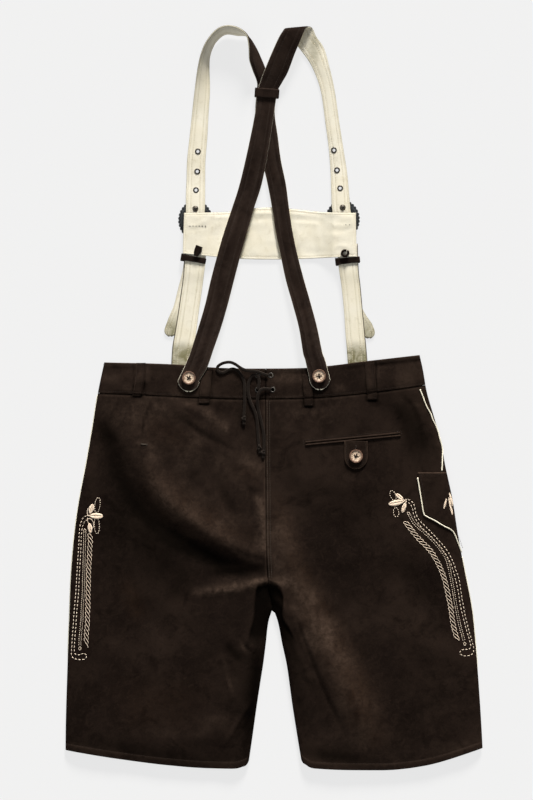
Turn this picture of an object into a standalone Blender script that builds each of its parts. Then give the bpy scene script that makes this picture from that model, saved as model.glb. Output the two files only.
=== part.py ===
"""Suede lederhosen with braces, laid flat on their front, so that the back faces up.

+X is to the right seen from above, +Y runs from the hems to the shoulders, +Z is up.
Z = 0 is the surface that they lie on. Tables are in millimetres from the middle of the garment.
"""

import math

import bmesh
import bpy
import numpy as np
from mathutils import Matrix, Vector

MM = 0.001
GAP = 0.3  # mm between pieces that touch
SUEDE = 1.6  # mm, wall of a single layer of suede
BAND_WALL = 2.4  # mm, waistband of two layers
BAND_TOP = 0.8  # mm, the waistband's outer face above the back's
STRAP_WALL = 1.2  # mm, each of a strap's two layers
STRAP_HALF_STACK = STRAP_WALL + GAP / 2  # mm, from a strap's middle to its face
PIPING_RADIUS = 1.2
PANEL_RIM = 3.9  # mm, height of the back panels' rim above the surface
BUTTON_RADIUS = 11.0
BUTTON_HEIGHT = 4.2
EYELET_HOLE = 2.5  # mm, radius
EYELET_BARREL = 3.0
EYELET_FLANGE = 4.8
LACE_RADIUS = 1.7
SIDE_ROUNDING = 26.0  # mm over which a panel rolls down to its side seam
INSEAM_ROUNDING = 20.0  # mm over which a leg rolls down to its inseam
CROTCH_Y = -332.0
CROTCH_FADE = 62.0  # mm above the crotch where the hollow starts

# The two legs' edges, by height: side seams and inseams.
SIDE_LEFT = [(58, -272), (10, -282), (-47, -291), (-105, -301), (-162, -312), (-220, -320),
             (-278, -325), (-354, -328), (-431, -331), (-558, -334), (-600, -334)]  # y, x
SIDE_RIGHT = [(71, 233), (49, 238), (10, 245), (-28, 256), (-66, 267), (-105, 274), (-162, 286),
              (-220, 295), (-278, 306), (-335, 317), (-393, 323), (-470, 329), (-554, 334),
              (-600, 336)]  # y, x
MIDDLE = [(60, -13, 0), (-2, -13, 0), (-135, -11, 0), (-290, -6, 0), (-326, -3, 0),
          (-336, -2, 0.8), (-354, -1.5, 6.5), (-393, 0, 13), (-431, 1.5, 19.5), (-489, 1, 28),
          (-546, 1.5, 36.5), (-600, 2, 45)]  # y, x of the centre seam, half the gap of the legs
# Upper and lower edges, by x.
WAIST = [(-275, 58), (-150, 54), (-102, 50), (-38, 48), (51, 49), (85, 52), (149, 60), (236, 70)]
BAND_SEAM = [(-284, 9), (-226, 7), (-123, 2), (-51, 0), (48, 1), (147, 9), (230, 20), (250, 23)]
HEM_LEFT = [(-334, -563), (-262, -575), (-170, -587), (-123, -591), (-70, -592.5), (-52, -590),
            (-42, -584), (-37, -573)]
HEM_RIGHT = [(40, -566), (43, -577), (52, -587), (69, -592.5), (174, -595), (206, -593),
             (245, -587), (334, -560)]
LOFT = [(70, 9), (10, 12), (-66, 15), (-162, 18), (-278, 18), (-400, 16), (-500, 13), (-600, 11)]
# Folds of the back: three points of the crest or valley, its half width and its height.
FOLDS = [
    # x0, y0, x1, y1, x2, y2, width, height
    (-262, -38, -176, -192, -19, -266, 20, -6.5),  # the long drag line across the seat
    (-202, -30, -112, -132, -19, -190, 28, 5.0),  # the full seat above it
    (-124, -320, -70, -302, -16, -290, 13, 5.0),  # ridge running into the crotch
    (-19, -290, 44, -366, 102, -526, 13, 3.5),  # ridge down the right leg
    (-2, -330, 20, -400, 62, -500, 12, -3.0),  # valley beside it
    (-10, -170, 72, -352, 146, -535, 36, 4.0),  # broad swell of the right leg
    (-30, -334, -38, -362, -46, -391, 9, -4.0),  # dark fold beside the left inseam
    (-44, -394, -38, -404, -36, -416, 10, 5.0),  # puff below it
    (200, -250, 222, -305, 244, -356, 34, -4.0),
    (-200, -256, -152, -384, -118, -530, 44, 3.0),
]

# Straps, from the back button over the shoulder to the free end: both edges in order.
STRAP_A = [
    # left x, y, z, right x, y, z
    (-132, 74, 20.0, -98, 74, 20.0), (-121, 113, 15.0, -85, 113, 15.0),
    (-110, 151, 11.0, -74, 151, 11.0), (-101, 190, 9.5, -64, 190, 9.5),
    (-91, 228, 9.5, -54, 228, 9.5), (-80, 266, 9.0, -43, 266, 9.0),
    (-67, 305, 8.5, -32, 305, 8.5), (-55, 343, 8.0, -20, 343, 8.0),
    (-42, 398, 8.0, -9, 398, 8.0), (-30, 458, 8.0, 0, 458, 8.0),
    (-27, 490, 8.2, 5, 490, 8.2), (-22, 506, 10.5, 13, 506, 10.2),
    (-16, 522, 14.0, 22, 522, 12.5), (-4, 551, 17.5, 33, 551, 16.5),
    (8, 577, 20.5, 44, 577, 19.5), (15, 588, 19.5, 51, 592, 18.5),
    (18, 591, 13.0, 57, 594, 12.5), (21, 588, 6.0, 62, 592, 6.5),
    (28, 577, 3.2, 68, 579, 4.0), (45, 556, 1.8, 80, 561, 3.2),
    (61, 532, 1.6, 89, 530, 3.5), (75, 494, 1.6, 97, 494, 2.2),
    (83, 439, 1.6, 105, 439, 1.6), (88, 401, 1.6, 111, 401, 1.6),
    (91, 362, 1.6, 117, 362, 1.6), (92, 330, 2.8, 120, 330, 2.8),
    (93, 306, 3.5, 122, 306, 3.5), (98, 270, 3.6, 126, 270, 3.6),
    (106, 232, 3.4, 131, 232, 3.4), (107, 206, 3.3, 132, 206, 3.3),
    (110, 176, 1.7, 136.5, 176, 1.7), (114.5, 150, 1.6, 139.5, 150, 1.6),
    (121, 134, 1.6, 147, 134, 1.6), (128, 121, 1.6, 156, 121, 1.6),
    (132, 112, 1.6, 160, 112, 1.6),
]
STRAP_B = [
    (46, 74, 20.0, 77, 74, 20.0), (40, 113, 15.0, 69, 113, 15.0),
    (30, 151, 10.5, 59, 151, 10.5), (19, 190, 8.0, 48, 190, 8.0),
    (11, 228, 7.0, 38, 228, 7.0), (3, 266, 6.2, 30, 266, 6.2),
    (-3, 305, 5.0, 24, 305, 5.0), (-10, 343, 4.5, 19, 343, 4.5),
    (-19, 382, 4.5, 11, 382, 4.5), (-27, 420, 4.5, 6, 420, 4.5),
    (-30, 458, 4.5, 1, 458, 4.5), (-28, 490, 4.6, 4, 488, 4.5),
    (-27, 506, 6.5, 1, 503, 3.8), (-34, 525, 17.0, -10, 520, 3.0),
    (-39, 541, 27.0, -19, 541, 3.0), (-40, 562, 32.0, -29, 562, 3.0),
    (-44, 580, 34.0, -42, 580, 3.0), (-58, 591, 34.0, -58, 582, 3.0),
    (-76, 594, 33.0, -76, 584, 3.0), (-92, 588, 30.0, -88, 577, 3.0),
    (-107, 571, 26.0, -97, 565, 2.5), (-116, 552, 21.0, -103, 548, 2.2),
    (-122, 528, 14.0, -104, 528, 1.9), (-127, 494, 6.0, -103, 494, 1.7),
    (-131, 458, 1.8, -105, 458, 1.6), (-135, 420, 1.6, -107, 420, 1.6),
    (-139, 382, 1.6, -110, 382, 1.6), (-140, 350, 1.6, -110.5, 350, 1.6),
    (-141, 326, 2.8, -110.5, 326, 2.8), (-141, 302, 3.5, -111, 302, 3.5),
    (-141, 270, 3.6, -113, 270, 3.6), (-143, 234, 3.4, -117, 234, 3.4),
    (-146, 206, 3.3, -120.5, 206, 3.3), (-153.5, 176, 1.7, -127.5, 176, 1.7),
    (-160, 150, 1.6, -134, 150, 1.6), (-167.5, 132, 1.6, -139.5, 132, 1.6),
    (-174, 115, 1.6, -146, 115, 1.6),
]
LOWER_STRAP_LEFT = [
    (-142, 248, 6.6, -108, 248, 6.6), (-143, 217, 6.5, -110, 217, 6.5),
    (-144, 200, 6.4, -112, 200, 6.4), (-146.5, 180, 5.2, -114.5, 180, 5.2),
    (-152, 142, 5.0, -120, 142, 5.0), (-158, 104, 5.0, -125, 104, 5.0),
    (-162, 80, 4.8, -128.5, 80, 4.8), (-165, 30, 3.5, -133, 30, 3.5),
    (-168, 14, 3.5, -136, 14, 3.5),
]
LOWER_STRAP_RIGHT = [
    (101, 248, 6.6, 133, 248, 6.6), (103, 217, 6.5, 134, 217, 6.5),
    (105, 200, 6.4, 135, 200, 6.4), (108, 180, 5.2, 137.5, 180, 5.2),
    (112, 142, 5.0, 141, 142, 5.0), (114.5, 104, 5.0, 144.5, 104, 5.0),
    (116.5, 80, 4.8, 147, 80, 4.8), (120, 30, 3.5, 151, 30, 3.5),
    (121, 14, 3.5, 152, 14, 3.5),
]
STRAP_B_EYELETS = [(-122, 396), (-123, 364), (-125, 334), (-126, 304)]
STRAP_A_EYELETS = [(96, 398), (101, 366), (106, 337), (110, 306)]
# Chest crossbar, which lies over both front straps.
BAR_TOP = [(-144, 297), (-72, 299), (-29, 305), (-3, 306), (26, 304), (86, 298), (131, 297)]
BAR_BOTTOM = [(-146, 234), (-110, 230), (-51, 224), (11, 223), (46, 224), (98, 226), (132, 228)]
BAR_HEIGHT = [(-146, 9.9), (-107, 9.9), (-91, 6.0), (-70, 2.5), (-50, 1.5), (60, 1.5), (72, 2.5),
              (88, 7.0), (97, 9.9), (132, 9.9)]
ROSETTES = {"left": (-126, 286), "right": (110, 287)}
ROSETTE_RADIUS = 27.5
ROSETTE_STRETCH = 1.14
ROSETTE_SCALLOPS = 22

BELT_LOOPS = {
    # name: x and y of the upper end, x and y of the lower end, width
    "belt_loop_1": (-213, 57, -219, 4, 15),
    "belt_loop_2": (-108, 44, -112, -8, 17),
    "belt_loop_3": (52, 38, 55.5, -12, 14),
    "belt_loop_4": (152, 59, 157, -2, 15),
}
STRAP_BUTTONS = {"strap_button_left": (-136, 33), "strap_button_right": (72, 36)}
POCKET_BUTTON = (131, -92)
WELT_LEFT = (50, -72)
WELT_RIGHT = (202, -57)
KNIFE_POCKET_EDGE = [(-118, 229.5), (-126, 230.5), (-151, 234.8), (-169, 237.6), (-181, 239.8),
                     (-186, 242.4), (-193, 256), (-201.5, 270), (-210, 284.5), (-220, 290.5),
                     (-237, 296.8), (-246, 300)]  # y, x
RIGHT_PIPING = [(233.2, 14.5), (237.6, 4), (241.1, -5.6), (245.3, -15.2), (250.6, -24.8),
                (254, -34.4), (258.7, -44), (262.1, -53.6), (264.6, -63.2), (267.2, -72.8),
                (269.1, -82.4), (269, -92), (268.2, -111)]
WAIST_EYELETS = {"upper_left": (-26, 37), "upper_right": (-5, 37),
                 "lower_left": (-26, 14), "lower_right": (-2, 14)}
# Laces: x, y and height above the waistband or the back.
LACE_UPPER = [
    (-9, 37, 3.6), (-17, 39, 3.6), (-27, 43, 4.4), (-36, 44, 6.6), (-45, 45, 8.0), (-55, 50, 7.0),
    (-64, 56, 6.0), (-72, 58, 5.0), (-83, 56, 3.4), (-91, 49, 2.4), (-87, 42, 2.2), (-79, 42, 2.2),
    (-72, 46, 2.2), (-62, 47, 2.2), (-54, 40, 2.2), (-48, 28, 2.2), (-47, 10, 2.4), (-47, -10, 2.6),
    (-48, -25, 2.4), (-48, -42, 2.2),
]
LACE_LOWER = [
    (-26, 14, 2.95), (-24.6, 20, 2.9), (-23.8, 28, 2.8), (-26, 35.5, 2.9), (-31, 38.6, 3.2),
    (-36.5, 34.5, 2.9), (-40.5, 25, 2.4), (-41.5, 14, 2.2), (-39.5, 1, 2.2), (-35, -11, 2.4),
    (-30, -22, 2.2), (-27, -36, 1.6), (-26, -52, 1.4), (-24.5, -70, 1.4), (-22.5, -88, 1.4),
]
LACE_RIGHT = [
    (-5, 14, 2.85), (-11, 15.5, 3.3), (-18, 15.2, 4.9), (-23, 12, 5.8), (-25.8, 4, 5.4),
    (-26.3, -6, 4.0), (-25.5, -15, 2.8), (-23.5, -25, 2.2), (-20.5, -36, 1.6), (-16.5, -56, 1.5),
    (-16, -76, 1.4), (-17.5, -96, 1.4),
]

COLOURS = {
    # name: red, green, blue, roughness, metallic
    "suede": (0.030, 0.020, 0.014, 0.95, 0.0),
    "cream_leather": (0.78, 0.72, 0.55, 0.75, 0.0),
    "horn": (0.45, 0.28, 0.14, 0.4, 0.0),
    "old_metal": (0.12, 0.10, 0.08, 0.4, 1.0),
    "piping": (0.70, 0.60, 0.42, 0.7, 0.0),
    "lace": (0.06, 0.045, 0.035, 0.8, 0.0),
}

for old in list(bpy.data.objects):
    bpy.data.objects.remove(old)
parts = bpy.data.collections.new("lederhosen")
cutters = bpy.data.collections.new("cutters")
for collection in (parts, cutters):
    bpy.context.scene.collection.children.link(collection)


def make_material(name):
    red, green, blue, roughness, metallic = COLOURS[name]
    material = bpy.data.materials.new(name)
    material.use_nodes = True
    shader = material.node_tree.nodes["Principled BSDF"]
    shader.inputs["Base Color"].default_value = (red, green, blue, 1)
    shader.inputs["Roughness"].default_value = roughness
    shader.inputs["Metallic"].default_value = metallic
    return material


MATERIALS = {name: make_material(name) for name in COLOURS}


def read_curve(table, at, column=1):
    """A smooth curve through a table's rows, sorted by their first column, read at `at`."""
    rows = sorted(table)
    keys = np.array([row[0] for row in rows], float)
    values = np.array([row[column] for row in rows], float)
    secants = np.diff(values) / np.diff(keys)
    slopes = np.gradient(values, keys)
    turning = secants[:-1] * secants[1:] <= 0
    limit = 3 * np.minimum(abs(secants[:-1]), abs(secants[1:]))
    slopes[1:-1] = np.where(turning, 0, np.clip(slopes[1:-1], -limit, limit))
    at = min(max(at, keys[0]), keys[-1])
    i = min(int(np.searchsorted(keys, at, side="right")) - 1, len(keys) - 2)
    span = keys[i + 1] - keys[i]
    t = (at - keys[i]) / span
    return float(
        values[i] * (1 + 2 * t) * (1 - t) ** 2
        + values[i + 1] * t * t * (3 - 2 * t)
        + slopes[i] * span * t * (1 - t) ** 2
        - slopes[i + 1] * span * t * t * (1 - t)
    )


def middle_edge(y, sign):
    """X of the centre seam and, below the crotch, of a leg's inseam: sign -1 left, +1 right."""
    return read_curve(MIDDLE, y, 1) + sign * max(0, read_curve(MIDDLE, y, 2))


def smooth_path(points, steps):
    """Catmull-Rom points through `points`, `steps` for each stretch."""
    rows = np.array(points, float)
    padded = np.vstack([2 * rows[0] - rows[1], rows, 2 * rows[-1] - rows[-2]])
    path = []
    for a, b, c, d in zip(padded, padded[1:], padded[2:], padded[3:]):
        for step in range(steps):
            t = step / steps
            path.append(0.5 * (2 * b + (c - a) * t + (2 * a - 5 * b + 4 * c - d) * t**2
                               + (3 * b - a - 3 * c + d) * t**3))
    path.append(rows[-1])
    return np.array(path)


def even_path(points, spacing):
    """The same path with a point about every `spacing`."""
    dense = smooth_path(points, 12)
    along = np.concatenate([[0], np.cumsum(np.linalg.norm(np.diff(dense[:, :3], axis=0), axis=1))])
    count = max(2, round(along[-1] / spacing) + 1)
    marks = np.linspace(0, along[-1], count)
    return np.column_stack([np.interp(marks, along, dense[:, k]) for k in range(dense.shape[1])])


def smoothstep(low, high, value):
    t = min(max((value - low) / (high - low), 0), 1)
    return t * t * (3 - 2 * t)


def roll(distance, width):
    """A quarter round: 0 at the edge, 1 from `width` inwards."""
    t = min(max(distance / width, 0), 1)
    return math.sqrt(max(0, 1 - (1 - t) ** 2))


def fold_curve(x0, y0, x1, y1, x2, y2, width, height):
    """Points along one fold, an arc through its three points."""
    t = np.linspace(0, 1, 25)[:, None]
    start, middle, end = (np.array(p, float) for p in ((x0, y0), (x1, y1), (x2, y2)))
    bend = 2 * middle - (start + end) / 2
    return (1 - t) ** 2 * start + 2 * t * (1 - t) * bend + t**2 * end


FOLD_CURVES = [(fold_curve(*row), row[6], row[7]) for row in FOLDS]


def fold_height(x, y):
    total = 0
    for curve, width, height in FOLD_CURVES:
        distances = np.hypot(curve[:, 0] - x, curve[:, 1] - y)
        nearest = int(distances.argmin())
        ends = min(nearest, len(curve) - 1 - nearest) / 8  # fades out at both ends
        total += height * math.exp(-((distances[nearest] / width) ** 2)) * min(1, 0.35 + ends)
    return total


def back_height(x, y):
    """Height of the back's outer face at (x, y), in mm."""
    if x < read_curve(MIDDLE, y, 1):
        outer, inner = x - read_curve(SIDE_LEFT, y), middle_edge(y, -1) - x
    else:
        outer, inner = read_curve(SIDE_RIGHT, y) - x, x - middle_edge(y, 1)
    crotch = smoothstep(CROTCH_Y + CROTCH_FADE, CROTCH_Y, y)
    shape = roll(outer, SIDE_ROUNDING) * (1 - crotch * (1 - roll(inner, INSEAM_ROUNDING)))
    return PANEL_RIM + (read_curve(LOFT, y) - PANEL_RIM + fold_height(x, y)) * shape


def back_point(x, y, lift=0.0):
    """A point on the back, `lift` mm out along its normal."""
    step = 1.0
    here = back_height(x, y)
    if not lift:
        return Vector((x, y, here))
    slope_x = (back_height(x + step, y) - back_height(x - step, y)) / (2 * step)
    slope_y = (back_height(x, y + step) - back_height(x, y - step)) / (2 * step)
    normal = Vector((-max(-2.5, min(2.5, slope_x)), -max(-2.5, min(2.5, slope_y)), 1)).normalized()
    return Vector((x, y, here)) + normal * lift


def finish(obj, material, collection=parts):
    for other in obj.users_collection:
        other.objects.unlink(obj)
    collection.objects.link(obj)
    if material:
        obj.data.materials.clear()
        obj.data.materials.append(MATERIALS[material])
    if obj.type == "MESH":
        obj.data.shade_smooth()
    return obj


def add_sheet(name, point, across, along, thickness, material, offset=-1):
    """An open grid whose corners are point(u, v), thickened inwards, or outwards at offset 1."""
    cage = bmesh.new()
    bmesh.ops.create_grid(cage, x_segments=across, y_segments=along, size=1)
    for vertex in cage.verts:
        u, v = (vertex.co.x + 1) / 2, (vertex.co.y + 1) / 2
        vertex.co = Vector(point(u, v)) * MM
    mesh = bpy.data.meshes.new(name)
    cage.to_mesh(mesh)
    cage.free()
    obj = finish(bpy.data.objects.new(name, mesh), material)
    wall = obj.modifiers.new("wall", "SOLIDIFY")
    wall.thickness = thickness * MM
    wall.offset = offset
    wall.use_even_offset = False
    return obj


def add_flat(name, outlines, low, high, material):
    """A flat piece cut to `outlines`, from height `low` to `high`."""
    curve = bpy.data.curves.new(name, "CURVE")
    curve.dimensions = "2D"
    curve.fill_mode = "BOTH"
    curve.extrude = (high - low) / 2 * MM
    curve.render_resolution_u = 0
    for outline in outlines:
        spline = curve.splines.new("POLY")
        spline.points.add(len(outline) - 1)
        for knot, (x, y) in zip(spline.points, outline):
            knot.co = (x * MM, y * MM, 0, 1)
        spline.use_cyclic_u = True
    obj = bpy.data.objects.new(name, curve)
    obj.location.z = (low + high) / 2 * MM
    return finish(obj, material)


def add_tube(name, points, radius, material, sides=2):
    curve = bpy.data.curves.new(name, "CURVE")
    curve.dimensions = "3D"
    curve.bevel_depth = radius * MM
    curve.bevel_resolution = sides
    curve.use_fill_caps = True
    curve.render_resolution_u = 0
    spline = curve.splines.new("POLY")
    spline.points.add(len(points) - 1)
    for knot, point in zip(spline.points, points):
        knot.co = (point[0] * MM, point[1] * MM, point[2] * MM, 1)
    return finish(bpy.data.objects.new(name, curve), material)


def add_turned(name, profile, place, tilt, material, steps=16):
    """A profile of (radius, height) turned about Z, then set at `place` along `tilt`."""
    mesh = bpy.data.meshes.new(name)
    count = len(profile)
    links = [(i, i + 1) for i in range(count - 1)]
    if profile[0][0] > 0:
        links.append((count - 1, 0))
    mesh.from_pydata([(r * MM, 0, z * MM) for r, z in profile], links, [])
    obj = bpy.data.objects.new(name, mesh)
    screw = obj.modifiers.new("turn", "SCREW")
    screw.steps = screw.render_steps = steps
    screw.use_merge_vertices = True
    screw.merge_threshold = 0.00002
    obj.matrix_world = (Matrix.Translation(Vector(place) * MM)
                        @ Vector((0, 0, 1)).rotation_difference(tilt).to_matrix().to_4x4())
    return finish(obj, material)


def add_cutter(name, holes, sides):
    """Upright pins, (place, tilt, radius, length), that a Boolean takes away."""
    pins = bmesh.new()
    for place, tilt, radius, length in holes:
        turn = Vector((0, 0, 1)).rotation_difference(tilt).to_matrix().to_4x4()
        bmesh.ops.create_cone(pins, cap_ends=True, segments=sides, radius1=radius * MM,
                              radius2=radius * MM, depth=length * MM,
                              matrix=Matrix.Translation(Vector(place) * MM) @ turn)
    mesh = bpy.data.meshes.new(name)
    pins.to_mesh(mesh)
    pins.free()
    obj = bpy.data.objects.new(name, mesh)
    cutters.objects.link(obj)
    obj.hide_render = True
    obj.display_type = "WIRE"
    return obj


def cut_holes(obj, name, holes, sides=10):
    cut = obj.modifiers.new("holes", "BOOLEAN")
    cut.operation = "DIFFERENCE"
    cut.object = add_cutter(name, holes, sides)


UP = Vector((0, 0, 1))


# ---- Front, flat on the surface -------------------------------------------------------------
FRONT_INSET = 3.0  # mm from the back's side edge to the front's, with the piping between them
HEM_INSET = 3.0
FLAP_HALF = 105.0
FLAP_TAPER = 18.0
FLAP_LOW = -170.0


def front_outline(side):
    """One front leg, its edges a little inside the back's, with half of the flap cut away."""
    sign = -1 if side == "left" else 1
    edge, hem = (SIDE_LEFT, HEM_LEFT) if side == "left" else (SIDE_RIGHT, HEM_RIGHT)
    centre = -12.0
    high, low = (7, -555) if side == "left" else (18, -551)
    outer = [(read_curve(edge, y) - sign * FRONT_INSET, y) for y in np.linspace(high, low, 18)]
    bottom = [(x, y + HEM_INSET) for x, y in hem]
    bottom = bottom if side == "left" else bottom[::-1]
    inner = [(middle_edge(y, sign) + sign * 1.5, y) for y in np.linspace(-552, -345, 9)]
    flap = [(centre + sign * 0.15, CROTCH_Y - 2), (centre + sign * 0.15, FLAP_LOW - GAP),
            (centre + sign * (FLAP_HALF - FLAP_TAPER), FLAP_LOW - GAP)]
    top = [(x, read_curve(BAND_SEAM, x) - GAP)
           for x in np.linspace(centre + sign * FLAP_HALF, outer[0][0] - sign * 3, 8)]
    return outer + bottom[1:-1] + inner + flap + top


def build_front():
    for side in ("left", "right"):
        add_flat(f"front_{side}", [front_outline(side)], 0, SUEDE, "suede")
    half, centre = FLAP_HALF - GAP, -12.0
    seam = [(x, read_curve(BAND_SEAM, x) - GAP) for x in np.linspace(centre - half, centre + half, 9)]
    foot = [(centre + sign * (half - FLAP_TAPER), FLAP_LOW) for sign in (1, -1)]
    add_flat("front_flap", [seam + foot], 0, SUEDE, "suede")
    low = [(x, read_curve(BAND_SEAM, x)) for x in np.linspace(-278, 240, 20)]
    high = [(x, read_curve(WAIST, x) - 2) for x in np.linspace(231, -269, 12)]
    add_flat("waistband_front", [low + high], 0, SUEDE, "suede")


# ---- Back panels and waistband --------------------------------------------------------------
def crowd(u):
    """Columns closer together towards both edges."""
    return u - 0.8 * math.sin(2 * math.pi * u) / (2 * math.pi)


def across_back(side, share, y):
    """X of a back half at height y, `share` of the way from its left edge to its right."""
    if side == "left":
        start, end = read_curve(SIDE_LEFT, y), middle_edge(y, -1) - GAP / 2
    else:
        start, end = middle_edge(y, 1) + GAP / 2, read_curve(SIDE_RIGHT, y)
    return start + (end - start) * share


def on_line(side, share, table):
    """Y where a back half's column meets a line given by a table."""
    y = table[len(table) // 2][1]
    for _ in range(5):
        y = read_curve(table, across_back(side, share, y))
    return y


def panel_point(side, u, v):
    """A point of a back half: u from its left edge to its right, v from the hem up."""
    share = crowd(u)
    low = on_line(side, share, HEM_LEFT if side == "left" else HEM_RIGHT)
    high = on_line(side, share, BAND_SEAM) - GAP
    y = low + (high - low) * v
    return back_point(across_back(side, share, y), y)


def band_point(side, u, v):
    share = crowd(u)
    low, high = on_line(side, share, BAND_SEAM), on_line(side, share, WAIST)
    y = low + (high - low) * v
    x = across_back(side, share, y)
    return Vector((x, y, back_height(x, y) + BAND_TOP))


def build_back():
    for side in ("left", "right"):
        add_sheet(f"back_{side}", lambda u, v, s=side: panel_point(s, u, v), 18, 26, SUEDE, "suede")
        band = add_sheet(f"waistband_{side}", lambda u, v, s=side: band_point(s, u, v), 18, 2,
                         BAND_WALL, "suede")
        holes = [(back_point(*place), UP, EYELET_BARREL + GAP, 14)
                 for name, place in WAIST_EYELETS.items() if name.endswith(side)]
        cut_holes(band, f"waistband_{side}_holes", holes)


# ---- Pieces on the back ---------------------------------------------------------------------

def build_belt_loops():
    thickness = 1.4
    for name, (x_top, y_top, x_low, y_low, width) in BELT_LOOPS.items():
        def point(u, v):
            x = x_low + (x_top - x_low) * v + (u - 0.5) * width
            y = y_low + (y_top - y_low) * v
            lift = BAND_TOP + GAP + thickness + 0.5 * math.sin(math.pi * v)
            return back_point(x, y, lift)
        add_sheet(name, point, 2, 8, thickness, "suede")


def build_pocket():
    left, right = Vector(WELT_LEFT), Vector(WELT_RIGHT)
    run = (right - left).normalized()
    across = Vector((-run.y, run.x))
    lip = 4.0
    for name, side in (("pocket_welt_upper", 1), ("pocket_welt_lower", -1)):
        def point(u, v, side=side):
            place = left + (right - left) * u + across * side * (GAP / 2 + (v if side > 0 else 1 - v) * lip)
            return back_point(*place, GAP + 1.2)
        add_sheet(name, point, 10, 1, 1.2, "suede")
    half, top, low, round_from = 18.5, -68.0, -112.5, -94.0

    def tab_point(u, v):
        y = low + (top - low) * v
        width = half if y > round_from else half * math.sqrt(max(0.06, 1 - ((round_from - y) / 19) ** 2))
        return back_point(131 + (2 * u - 1) * width, y, 1.5 + GAP + SUEDE)
    add_sheet("pocket_tab", tab_point, 4, 8, SUEDE, "suede")


def build_knife_pocket():
    thickness, clear = 1.6, 1.0

    def point(u, v):
        y = -246 + 128 * v
        start, end = read_curve(KNIFE_POCKET_EDGE, y), read_curve(SIDE_RIGHT, y)
        share = 1 - (1 - u) ** 2.2
        return back_point(start + (end - start) * share, y, clear + thickness)
    add_sheet("knife_pocket", point, 7, 18, thickness, "suede")


def build_piping():
    def side_run(table, sign, high, low, tuck_from):
        rows = []
        for y in np.linspace(high, low, 22):
            tuck = 1.7 * smoothstep(tuck_from, tuck_from - 30, y)
            rows.append((read_curve(table, y) + sign * (0.2 - tuck), y, 1.45))
        return rows
    add_tube("piping_left", side_run(SIDE_LEFT, -1, 6, -552, -405), PIPING_RADIUS, "piping", 1)
    add_tube("piping_right", side_run(SIDE_RIGHT, 1, -254, -548, -418), PIPING_RADIUS, "piping", 1)
    on_back = [back_point(x, y, PIPING_RADIUS + GAP) for x, y in smooth_path(RIGHT_PIPING, 1)]
    add_tube("piping_hip", on_back, PIPING_RADIUS, "piping", 1)
    border = even_path([(x, y, 0) for y, x in KNIFE_POCKET_EDGE[1:]], 6)
    along = np.gradient(border, axis=0)
    along /= np.linalg.norm(along, axis=1)[:, None]
    clear = PIPING_RADIUS + 4 * GAP
    edge = [back_point(x + dy * clear, y - dx * clear, PIPING_RADIUS + GAP)
            for (x, y, _), (dx, dy, _) in zip(border, along)]
    add_tube("piping_pocket", edge, PIPING_RADIUS, "piping", 1)


# ---- Braces ---------------------------------------------------------------------------------
def button_height(x, y):
    """Middle of a strap's two layers where it lies over a belt loop on the waistband."""
    return back_height(x, y) + BAND_TOP + 2 * GAP + 1.9 + STRAP_HALF_STACK


def rounded_end(row, towards, length, steps=4):
    """Rows that close a strap with a round end, past its last row."""
    left, right = Vector(row[:3]), Vector(row[3:])
    middle, half = (left + right) / 2, (right - left) / 2
    rows = []
    for step in range(1, steps + 1):
        angle = math.pi / 2 * step / steps * 0.93
        centre = middle + Vector(towards) * length * math.sin(angle)
        rows.append((*(centre - half * math.cos(angle)), *(centre + half * math.cos(angle))))
    return rows


def buttoned_strap(rows, button):
    """A strap's rows with its buttoned end, on the waistband, put in front."""
    x, y = button
    first = rows[0]
    half = (first[3] - first[0]) / 2 + 0.5
    lean = (first[0] + first[3]) / 2 - x
    start = []
    for place in (y - 4, y + 14, y + 27):
        middle = x + lean * (place - y) / (first[1] - y)
        z = button_height(middle, min(place, 48)) + 0.4
        start.append((middle - half, place, z, middle + half, place, z))
    end = rounded_end(start[0], (0, -1, 0), 17)
    return end[::-1] + start + rows


def layer_sheet(name, rows, across, steps, side, material):
    """One layer of a strap; side +1 is the face layer, -1 the lining."""
    path = smooth_path(rows, steps)
    left, right = path[:, :3], path[:, 3:]
    middle = (left + right) / 2
    along = np.gradient(middle, axis=0)
    count = len(path) - 1

    def point(u, v):
        i = round(v * count)
        normal = np.cross(right[i] - left[i], along[i])
        normal /= np.linalg.norm(normal)
        return left[i] + (right[i] - left[i]) * u + normal * side * GAP / 2
    return add_sheet(name, point, across, count, STRAP_WALL, material, offset=side)


def strap_centre(rows, y):
    """Height of a front strap's middle at y, past the shoulder."""
    front = [(row[1], (row[2] + row[5]) / 2) for row in rows[18:]]
    return read_curve(front, y)


def build_straps():
    straps = {
        "strap_a": (buttoned_strap(STRAP_A, STRAP_BUTTONS["strap_button_left"]), STRAP_A_EYELETS),
        "strap_b": (buttoned_strap(STRAP_B, STRAP_BUTTONS["strap_button_right"]), STRAP_B_EYELETS),
    }
    for name, (rows, eyelets) in straps.items():
        end = rows[-1]
        out = 0.4 if name == "strap_a" else -0.4
        rows = rows + rounded_end(end, (out, -0.92, 0), 17, 3)
        holes = []
        for number, (x, y) in enumerate(eyelets, 1):
            z = strap_centre(STRAP_A if name == "strap_a" else STRAP_B, y)
            holes.append(((x, y, z), UP, EYELET_BARREL + GAP, 16))
            add_eyelet(f"{name}_eyelet_{number}", (x, y, z), STRAP_HALF_STACK)
        for side, layer, material in ((1, "face", "suede"), (-1, "lining", "cream_leather")):
            sheet = layer_sheet(f"{name}_{layer}", rows, 1, 2, side, material)
            cut_holes(sheet, f"{name}_{layer}_holes", holes)
    for side, rows in (("left", LOWER_STRAP_LEFT), ("right", LOWER_STRAP_RIGHT)):
        for layer_side, layer, material in ((1, "face", "suede"), (-1, "lining", "cream_leather")):
            layer_sheet(f"lower_strap_{side}_{layer}", rows, 1, 2, layer_side, material)


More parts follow.
